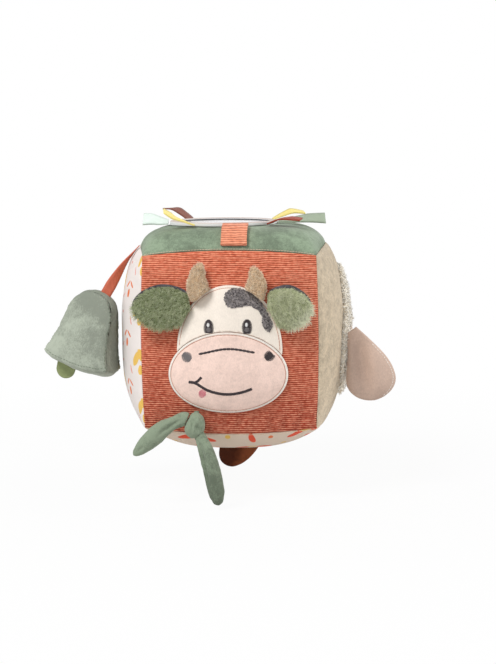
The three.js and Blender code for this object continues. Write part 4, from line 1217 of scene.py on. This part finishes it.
def tufted(
    name, base, cloth, body, tuft_size, density, lean=0.7, size_range=(0.7, 1.15), seed=1,
    nap=Vector(), clump=(3 * mm, 0.6),
):
    """Tufts all over a finished base piece, combed along a nap and drawn together in clumps."""
    tuft = tuft_object(*tuft_size)
    group = pile_nodes(tuft, density, lean, size_range, seed)
    carrier = linked("carrier", base.data.copy())
    carrier.modifiers.new("pile", "NODES").node_group = group
    mesh = bpy.data.meshes.new_from_object(evaluated(carrier))
    shape = bmesh.new()
    shape.from_mesh(mesh)
    bpy.data.objects.remove(carrier)
    bpy.data.objects.remove(tuft)
    bpy.data.meshes.remove(mesh)
    bpy.data.node_groups.remove(group)
    for face in shape.faces:
        face.material_index = 0
    rise = shape.verts.layers.float["rise"]
    clump_size, clump_pull = clump
    for vertex in shape.verts:
        pull = noise.noise_vector(vertex.co / clump_size) * clump_pull + nap
        vertex.co += pull * (tuft_size[0] * vertex[rise] ** 2)
    return finish_piece(name, shape, cloth, body)


# %% [markdown]
# The cow's ears are plush in front and dark velour behind. Their tufts stand out of the solid's surface, so
# the skin that carries them is made smaller first, and a little narrower towards the tip. The tufts are
# combed down and outwards.

# %% The cow's ears
ear_tuft = (2.3 * mm, 0.22 * mm, 0.6)


def narrowed(shape, node, root_high, across, tall, taper):
    """Draws a limb in towards its root and its middle, and more so towards its tip."""
    low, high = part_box(node)
    root = high.x if root_high else low.x
    middle = (low.z + high.z) / 2
    for vertex in shape.verts:
        share = abs(vertex.co.x - root) / (high.x - low.x)
        vertex.co.x = root + (vertex.co.x - root) * across
        vertex.co.z = middle + (vertex.co.z - middle) * tall * (1 - taper * share * share)


for side, outward, seed in (("left", -1, 3), ("right", 1, 5)):
    plush = soft_copy(f"{side}_ear_plush")
    narrowed(plush, f"{side}_ear_plush", outward < 0, 0.94, 0.86, 0.1)
    lumps(plush, 9 * mm, 0.5 * mm, seed)
    base = finish_piece(
        f"{side}_ear_front", plush, f"{side}_plush", f"{side}_ear", [f"{side}_ear_plush"],
    )
    tufted(
        f"{side}_ear_pile", base, f"{side}_plush", f"{side}_ear", ear_tuft, 5.5e6, lean=0.5,
        seed=seed, nap=Vector((0.5 * outward, 0, -0.5)), clump=(2.4 * mm, 0.6),
    )
    back = soft_copy(f"{side}_ear_back")
    narrowed(back, f"{side}_ear_back", outward < 0, 0.97, 0.93, 0.06)
    finish_piece(
        f"{side}_ear_lining", back, "charcoal_velour", f"{side}_ear", [f"{side}_ear_back"],
    )

# %% [markdown]
# The horns are small stuffed tubes of a short, fluffy pile that stands up all over them.

# %% The horns
for side, seed in (("left", 11), ("right", 12)):
    horn = soft_copy(f"{side}_horn")
    lumps(horn, 5 * mm, 0.5 * mm, seed)
    base = finish_piece(
        f"{side}_horn_cloth", horn, "horn_velour", f"{side}_horn", [f"{side}_horn"]
    )
    tufted(
        f"{side}_horn_nap", base, "horn_pile", f"{side}_horn", (1.1 * mm, 0.17 * mm, 0.4), 7e6,
        seed=seed, nap=Vector((0, 0, 0.4)), clump=(1.6 * mm, 0.9),
    )

# %% [markdown]
# The scarf is a knot with two stuffed ends. Their cloth creases where it is gathered into the knot: a fold
# presses a soft valley along a line, and the roots of the ends are drawn in towards the knot.

# %% The scarf
def draw_towards(shape, place, reach, by):
    """Pulls the near part of a piece towards a place."""
    for vertex in shape.verts:
        way = place - vertex.co
        vertex.co += way.normalized() * (by * math.exp(-((way.length / reach) ** 2)))


def at_mm(x, y, z):
    return Vector((x, y, z)) * mm


knot_middle = at_mm(-18.6, -58, 21)
scarf_folds = {
    "scarf_knot": [
        ((-22, -62, 26), (-14.5, -63, 16), 1.7, 1.2), ((-18.5, -63, 27), (-20, -63, 17), 1.2, 1.0),
        ((-15.5, -62, 26), (-17.5, -63, 21), -0.9, 1.2),
    ],
    "scarf_left_end": [
        ((-25, -62, 24), (-38, -63, 15), 1.6, 1.5), ((-24, -62, 20), (-30, -61, 16), 1.8, 1.2),
        ((-46, -62, 9), (-51, -62, 4), 0.6, 1.0),
    ],
    "scarf_right_end": [
        ((-17, -63, 13), (-11, -64, -12), 1.9, 1.6), ((-13, -64, 8), (-5.5, -64, -16), -0.9, 1.6),
    ],
}
for node, seed, size in (("scarf_knot", 21, 6), ("scarf_left_end", 22, 12), ("scarf_right_end", 23, 12)):
    limb = soft_copy(node, 3)
    low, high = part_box(node)
    if node == "scarf_knot":
        middle = (low + high) / 2
        for vertex in limb.verts:
            up = (vertex.co.z - middle.z) / (high.z - middle.z)
            vertex.co.x = middle.x + (vertex.co.x - middle.x) * (1 - 0.22 * up) + 0.6 * mm * up
    lumps(limb, size * mm, 0.9 * mm, seed, stretch=(1, 1, 0.6))
    for start, end, depth, width in scarf_folds[node]:
        fold(limb, at_mm(*start), at_mm(*end), depth * mm, width * mm)
    if node == "scarf_right_end":
        draw_towards(limb, knot_middle, 6 * mm, 1.4 * mm)
    if node == "scarf_left_end":
        swelled(limb, knot_middle, 0.5 * mm, 9 * mm)
    lumps(limb, 2.5 * mm, 0.2 * mm, seed)
    finish_piece(f"{node}_cloth", limb, "scarf_velour", node, [node])

# %% [markdown]
# The bell has a front and a back with a gusset between them. Each edge turns in where it comes close to its
# neighbour, deeper at each stitch, so that a puckered groove runs along the seam. The ribbon's end goes
# into the seam at the top.

# %% The bell
def turn_in(shape, neighbour, reach, depth, pitch, seed=0.0):
    """Turns the edge of a piece in where it comes near a neighbour's surface."""
    for vertex, normal in with_normals(shape):
        _, _, _, away = neighbour.find_nearest(vertex.co)
        near = math.exp(-((away / reach) ** 2))
        stitch = 0.65 + 0.7 * noise.noise(vertex.co / pitch + Vector((seed, 0, 0)))
        vertex.co -= normal * (depth * near * stitch)


def node_skin(node):
    return skin_of(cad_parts[node])


bell_low = Vector(min(c) for c in zip(*(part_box(n)[0] for n in ("bell_front_panel", "bell_gusset"))))
bell_high = Vector(max(c) for c in zip(*(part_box(n)[1] for n in ("bell_front_panel", "bell_gusset"))))


bell_middle_y = (bell_low.y + bell_high.y) / 2


def hang_in(shape):
    """The loose stuffing lets the bell's far side sag in, most of all at its lower corner."""
    for vertex in shape.verts:
        far = (bell_high.x - vertex.co.x) / (bell_high.x - bell_low.x)
        down = (bell_high.z - vertex.co.z) / (bell_high.z - bell_low.z)
        front = max(0.0, min(1.0, (bell_middle_y - vertex.co.y) / (bell_middle_y - bell_low.y)))
        vertex.co.x += max(0.0, far) * (1.0 + 2.4 * max(0.0, min(1.0, down))) * mm
        vertex.co.x += 2.2 * mm * front * (1 - max(0.0, far))


def edge_places(skin, starts, way, inset, longest=60 * mm):
    """The places just inside an edge, seen from the front, found by walking in from each start."""
    found = []
    for start in starts:
        for i in range(int(longest / scan_step)):
            at = start + way * (i * scan_step)
            if on_skin(skin, at.x, at.z)[0] is not None:
                found.append(at + way * inset)
                break
    return found


def edge_seam(threads, skin, starts, way, inset, width=0.4 * mm, share=0.6):
    """A row of short stitches along an edge."""
    places = edge_places(skin, starts, way, inset)
    for a, b in zip(places, places[1:]):
        if (b - a).length < 4 * mm:
            lay_between(threads, skin, a, a.lerp(b, share), width, 0.3 * mm)


def sew_to(shape, skin, seam, along, tuck=0.6 * mm):
    """Stretches the end of a piece that is nearest a seam until it is tucked into another piece."""
    middle = sum((v.co for v in shape.verts), Vector()) / len(shape.verts)
    way = seam - middle
    way = (way - along * way.dot(along)).normalized()
    reach = max((v.co - middle).dot(way) for v in shape.verts)
    for vertex in shape.verts:
        share = (vertex.co - middle).dot(way) / reach
        if share > 0.3:
            _, _, _, gap = skin.ray_cast(vertex.co - way * mm, way, 8 * mm)
            if gap:
                vertex.co += way * (max(0.0, gap - mm + tuck) * (share - 0.3) / 0.7)


bell_pieces = {
    "bell_front_panel": ("bell_front_cloth", 31),
    "bell_back_panel": ("bell_back_cloth", 32),
    "bell_gusset": ("bell_gusset_cloth", 33),
}
bell_made = {}
for node, (name, seed) in bell_pieces.items():
    cloth = soft_copy(node, 3)
    neighbours = ["bell_gusset"] if node != "bell_gusset" else ["bell_front_panel", "bell_back_panel"]
    for neighbour in neighbours:
        turn_in(cloth, node_skin(neighbour), 1.3 * mm, 1.0 * mm, 1.1 * mm, seed)
    lumps(cloth, 14 * mm, 0.9 * mm, 31)
    lumps(cloth, 3 * mm, 0.25 * mm, 31)
    hang_in(cloth)
    bell_made[node] = finish_piece(name, cloth, "bell_velour", "bell", [node])
bell_front_skin = skin_of(bell_made["bell_front_panel"])
bell_threads = bmesh.new()
step_count = 26
across_bell = [bell_low.lerp(bell_high, (i + 0.5) / step_count) for i in range(step_count)]
edge_seam(
    bell_threads, bell_front_skin, [Vector((p.x, 0, bell_low.z - 2 * mm)) for p in across_bell],
    Vector((0, 0, 1)), 2.2 * mm,
)
edge_seam(
    bell_threads, bell_front_skin, [Vector((bell_high.x + 2 * mm, 0, p.z)) for p in across_bell],
    Vector((-1, 0, 0)), 0.5 * mm,
)
finish_piece("bell_seam_stitches", bell_threads, "seam_thread", "bell")
bell_fibre = soft_copy("bell_filling", 1)
hang_in(bell_fibre)
finish_piece("bell_fibre", bell_fibre, "fibre", "bell", ["bell_filling"])
clapper = soft_copy("bell_clapper")
drawn_in(clapper, 0.2 * mm)
for vertex in clapper.verts:
    vertex.co.x += 1.2 * mm
clapper_seam = at_mm(-94.8, -21.1, 46.7)
seam_way = Vector((0.9119, -0.309, -0.2701)).normalized()
sew_to(clapper, skin_of(bell_made["bell_gusset"]), clapper_seam, seam_way)
clapper_low, clapper_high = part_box("bell_clapper")
clapper_way = ((clapper_low + clapper_high) / 2 - clapper_seam).normalized()
finish_piece(
    "bell_felt", clapper, "olive_felt", "bell_clapper", ["bell_clapper"],
    root=("bell", clapper_seam, clapper_seam + clapper_way * (4.5 * mm)),
)
strap = soft_copy("bell_ribbon", crease=1.0)
strap_low, strap_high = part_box("bell_ribbon")
tuck_from = strap_low.z + 4 * mm
strap_root = Vector((strap_high.x, (strap_low.y + strap_high.y) / 2, strap_high.z))
strap_end = Vector((strap_low.x + 3 * mm, (strap_low.y + strap_high.y) / 2, strap_low.z + 1 * mm))
for vertex in strap.verts:
    share = (vertex.co - strap_root).dot(strap_end - strap_root) / (strap_end - strap_root).length_squared
    middle = strap_root.lerp(strap_end, max(0.0, min(1.0, share)))
    vertex.co = middle + (vertex.co - middle) * min(1.0, 0.5 + 0.6 * max(0.0, share))
    if vertex.co.z < tuck_from:
        vertex.co += Vector((-0.5, 0, -0.85)) * ((tuck_from - vertex.co.z) * 0.5)
finish_piece("bell_strap", strap, "terracotta_ribbon", "bell_ribbon", ["bell_ribbon"])

# %% [markdown]
# The sheep's head is fleece: short curled tufts on a padded base. Her ears are velour, folded softly down
# their middle, with an edge of small stitches.

# %% The sheep's head
wool_base = soft_copy("sheep_wool", 1)
drawn_in(wool_base, 1.3 * mm, Vector((1, 0, 0)))
lumps(wool_base, 7 * mm, 0.5 * mm, 41)
wool = finish_piece("sheep_fleece", wool_base, "white_wool", "block", ["sheep_wool"])
tufted(
    "sheep_curls", wool, "white_wool", "block", (2.4 * mm, 0.45 * mm, 0.6), 1.8e6, seed=42,
    nap=Vector((-0.3, 0, -0.1)), clump=(3 * mm, 0.5),
)
face = soft_copy("sheep_face")
finish_piece("sheep_face_cloth", face, "blush_velour", "block", ["sheep_face"])
for place, way in (("front", -1), ("back", 1)):
    node = f"sheep_{place}_ear"
    ear = soft_copy(node, 3)
    low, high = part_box(node)
    for vertex in ear.verts:
        up = max(0.0, (vertex.co.z - low.z) / (high.z - low.z) - 0.45) / 0.55
        vertex.co.x -= up * up * 0.32 * (vertex.co.x - low.x)
    drawn_in(ear, 0.5 * mm, Vector((-1, 0, 0)))
    lumps(ear, 16 * mm, 0.5 * mm, 44)
    skin = node_skin(node)
    inward = Vector((0, -way, 0))
    ends = []
    for across, z in ((0.26, high.z - 7 * mm), (0.4, low.z + 5 * mm)):
        at = Vector((low.x + across * (high.x - low.x), way * 0.3, z))
        ends.append(skin.ray_cast(at, inward)[0] or Vector((at.x, low.y if way < 0 else high.y, z)))
    fold(ear, *ends, 4 * mm, 4 * mm, inward)
    ridge = Vector((8 * mm, 0, 0))
    fold(ear, ends[0] + ridge, ends[1] + ridge, -1.2 * mm, 4 * mm, inward)
    made = finish_piece(f"{node}_cloth", ear, "blush_velour", node, [node])
    if place == "front":
        ear_threads = bmesh.new()
        ear_starts = [Vector((high.x + 1 * mm, 0, low.z + 3 * mm + i * 1.4 * mm)) for i in range(22)]
        edge_seam(ear_threads, skin_of(made), ear_starts, Vector((-1, 0, 0)), 1.4 * mm, 0.35 * mm)
        finish_piece("sheep_ear_stitches", ear_threads, "cream_thread", node)

# %% [markdown]
# The mirror lies under the lip of a padded ring. Six ribbon tags are sewn in round it: a woven ribbon twists
# as it stands away from its seam, so each is rolled up along its far edge, more towards its free end. The
# tail is suede, cut as a leaf that slants.

# %% The mirror, its ring, the tags and the tabs
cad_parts["mirror"].data.materials.clear()
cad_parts["mirror"].data.materials.append(cloths["mirror_film"])
ring = soft_copy("mirror_ring")
drawn_in(ring, 0.15 * mm)
finish_piece("mirror_padded_ring", ring, "ring_binding", "block", ["mirror_ring"])
tag_cloths = {
    "mint_ribbon": "mint_ribbon",
    "brown_ribbon": "brown_ribbon",
    "back_yellow_ribbon": "yellow_ribbon",
    "sage_ribbon": "sage_ribbon",
    "terracotta_ribbon": "dark_terracotta_ribbon",
    "front_yellow_ribbon": "yellow_ribbon",
}
tag_rolls = {
    "mint_ribbon": 18, "brown_ribbon": 22, "back_yellow_ribbon": 32, "sage_ribbon": 12,
    "terracotta_ribbon": 16, "front_yellow_ribbon": 26,
}
tag_shares = {"mint_ribbon": 0.86}


def rolled(shape, degrees, length_share=1.0):
    """Turns a ribbon about its near edge, so that its far edge rises towards its free end."""
    far_first = sorted(shape.verts, key=lambda v: -v.co.xy.length)
    tenth = max(3, len(far_first) // 10)
    tip = sum((v.co for v in far_first[:tenth]), Vector()) / tenth
    root = sum((v.co for v in far_first[-tenth:]), Vector()) / tenth
    axis = (tip - root).normalized()
    near_way = axis.cross(Vector((0, 0, 1))).normalized()
    if near_way.y > 0:
        near_way = -near_way
    reach = max((v.co - root).dot(near_way) for v in shape.verts)
    pivot = root + near_way * reach
    sign = 1 if axis.cross(Vector((0, 0, 1))).y < 0 else -1
    for vertex in shape.verts:
        share = max(0.0, min(1.0, (vertex.co - root).dot(axis) / (tip - root).length))
        turn = Matrix.Rotation(sign * math.radians(degrees) * min(1.0, 1.6 * share), 3, axis)
        vertex.co = pivot + turn @ (vertex.co - pivot)
        vertex.co -= axis * ((1 - length_share) * share * (tip - root).length)


for node, cloth in tag_cloths.items():
    tag = soft_copy(node, crease=1.0)
    drawn_in(tag, 0.08 * mm)
    rolled(tag, tag_rolls[node], tag_shares.get(node, 1.0))
    finish_piece(f"{node}_tag", tag, cloth, node, [node])
tab = soft_copy("pull_tab")
drawn_in(tab, 0.12 * mm)
finish_piece(
    "corduroy_pull_tab", tab, "tab_corduroy", "pull_tab", ["pull_tab"]
)
tail = soft_copy("tail_tab", 3)
tail_low, tail_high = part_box("tail_tab")
for vertex in tail.verts:
    across = (vertex.co.x - tail_low.x) / (tail_high.x - tail_low.x)
    down = max(0.0, min(1.0, (tail_high.z - vertex.co.z) / (tail_high.z - tail_low.z) * 1.6 - 0.6))
    vertex.co.x -= 4 * mm * down
    vertex.co.z += 5 * mm * down * max(0.0, across - 0.35) ** 1.5 / 0.52
lumps(tail, 12 * mm, 0.8 * mm, 51)
fold(tail, at_mm(11, 50, 8), at_mm(-3, 50, -22), -0.8 * mm, 2.5 * mm)
finish_piece(
    "suede_tail", tail, "brown_suede", "tail_tab", ["tail_tab"],
)

# %% [markdown]
# The photograph looks almost straight at the cow, from 3 degrees to the right and 7 degrees above. The camera
# repeats that, with a long lens and the photograph's slight roll.

# %% Camera
azimuth, elevation, roll = math.radians(3), math.radians(7), math.radians(-0.449)
distance = 0.9314
target = Vector((7.504 * mm, 0, centre_height - 0.217 * mm))
back_way = Vector(
    (
        math.sin(azimuth) * math.cos(elevation),
        -math.cos(azimuth) * math.cos(elevation),
        math.sin(elevation),
    )
)
lens = bpy.data.cameras.new("photo_camera")
lens.sensor_fit, lens.sensor_height, lens.sensor_width, lens.lens = "VERTICAL", 36, 36, 88.527
lens.clip_start, lens.clip_end = 0.01, 50
camera = linked("photo_camera", lens)
right_way = (-back_way).cross(Vector((0, 0, 1))).normalized()
up_way = right_way.cross(-back_way)
rolled_right = right_way * math.cos(roll) + up_way * math.sin(roll)
rolled_up = up_way * math.cos(roll) - right_way * math.sin(roll)
turn = Matrix((rolled_right, rolled_up, back_way)).transposed()
camera.matrix_world = Matrix.Translation(target + back_way * distance) @ turn.to_4x4()
bpy.context.scene.camera = camera

# %% [markdown]
# The world is a soft, even light that looks plain white to the camera. The floor is nearly white to the
# camera too, and still keeps the block's shadow. A soft key lamp stands at the upper left in front, and a
# fill lamp at the right brightens the sheep's side.

# %% Floor, world and lamps
def white_to_camera(tree, shader, target):
    """Shows plain white to the camera and in reflections, and the shader to everything else."""
    path = tree.nodes.new("ShaderNodeLightPath")
    seen = tree.nodes.new("ShaderNodeMath")
    seen.operation = "MAXIMUM"
    tree.links.new(path.outputs["Is Camera Ray"], seen.inputs[0])
    tree.links.new(path.outputs["Is Glossy Ray"], seen.inputs[1])
    white = tree.nodes.new("ShaderNodeBackground")
    white.inputs["Color"].default_value = (1, 1, 1, 1)
    mixer = tree.nodes.new("ShaderNodeMixShader")
    tree.links.new(seen.outputs[0], mixer.inputs[0])
    tree.links.new(shader.outputs[0], mixer.inputs[1])
    tree.links.new(white.outputs[0], mixer.inputs[2])
    tree.links.new(mixer.outputs[0], target)


world = bpy.data.worlds.new("studio")
bpy.context.scene.world = world
world.use_nodes = True
sky = world.node_tree.nodes["Background"]
sky.inputs["Color"].default_value = (1.0, 0.99, 0.975, 1)
sky.inputs["Strength"].default_value = 0.52
white_to_camera(world.node_tree, sky, world.node_tree.nodes["World Output"].inputs["Surface"])

floor_shape = bmesh.new()
bmesh.ops.create_grid(floor_shape, x_segments=1, y_segments=1, size=4)
floor = linked("floor", mesh_of("floor", floor_shape))
floor.location.z = solid_bounds[0][2] - 0.5 * mm
floor_paint = Finish("floor_paint", roughness=0.9)
floor_paint.shader.inputs["Base Color"].default_value = (0.72, 0.72, 0.72, 1)
glow = floor_paint.tree.nodes.new("ShaderNodeEmission")
glow.inputs["Color"].default_value = (1, 1, 1, 1)
rays = floor_paint.tree.nodes.new("ShaderNodeLightPath")
blend_floor = floor_paint.tree.nodes.new("ShaderNodeMixShader")
east, north, _ = floor_paint.axes(floor_paint.place())
away = (east * east + north * north).math("SQRT")
fading = ((away - 0.12) / 0.3).clamped() * 0.06 + 0.94
share = Signal(floor_paint, rays.outputs["Is Camera Ray"]) * fading
floor_paint.tree.links.new(share.socket, blend_floor.inputs[0])
floor_paint.tree.links.new(floor_paint.shader.outputs[0], blend_floor.inputs[1])
floor_paint.tree.links.new(glow.outputs[0], blend_floor.inputs[2])
floor_surface = floor_paint.tree.nodes["Material Output"].inputs["Surface"]
floor_paint.tree.links.new(blend_floor.outputs[0], floor_surface)
floor.data.materials.append(floor_paint.material)


def soft_lamp(name, place, size, power):
    lamp = bpy.data.lights.new(name, "AREA")
    lamp.shape, lamp.size, lamp.energy = "DISK", size, power
    made = linked(name, lamp)
    made.location = place
    made.rotation_euler = (centre - made.location).to_track_quat("-Z", "Y").to_euler()


soft_lamp("key", Vector((-0.55, -0.75, 1.0)), 0.5, 11.5)
soft_lamp("fill", Vector((1.3, 0.05, 0.4)), 0.6, 8.5)
bpy.context.scene.view_settings.view_transform = "Standard"
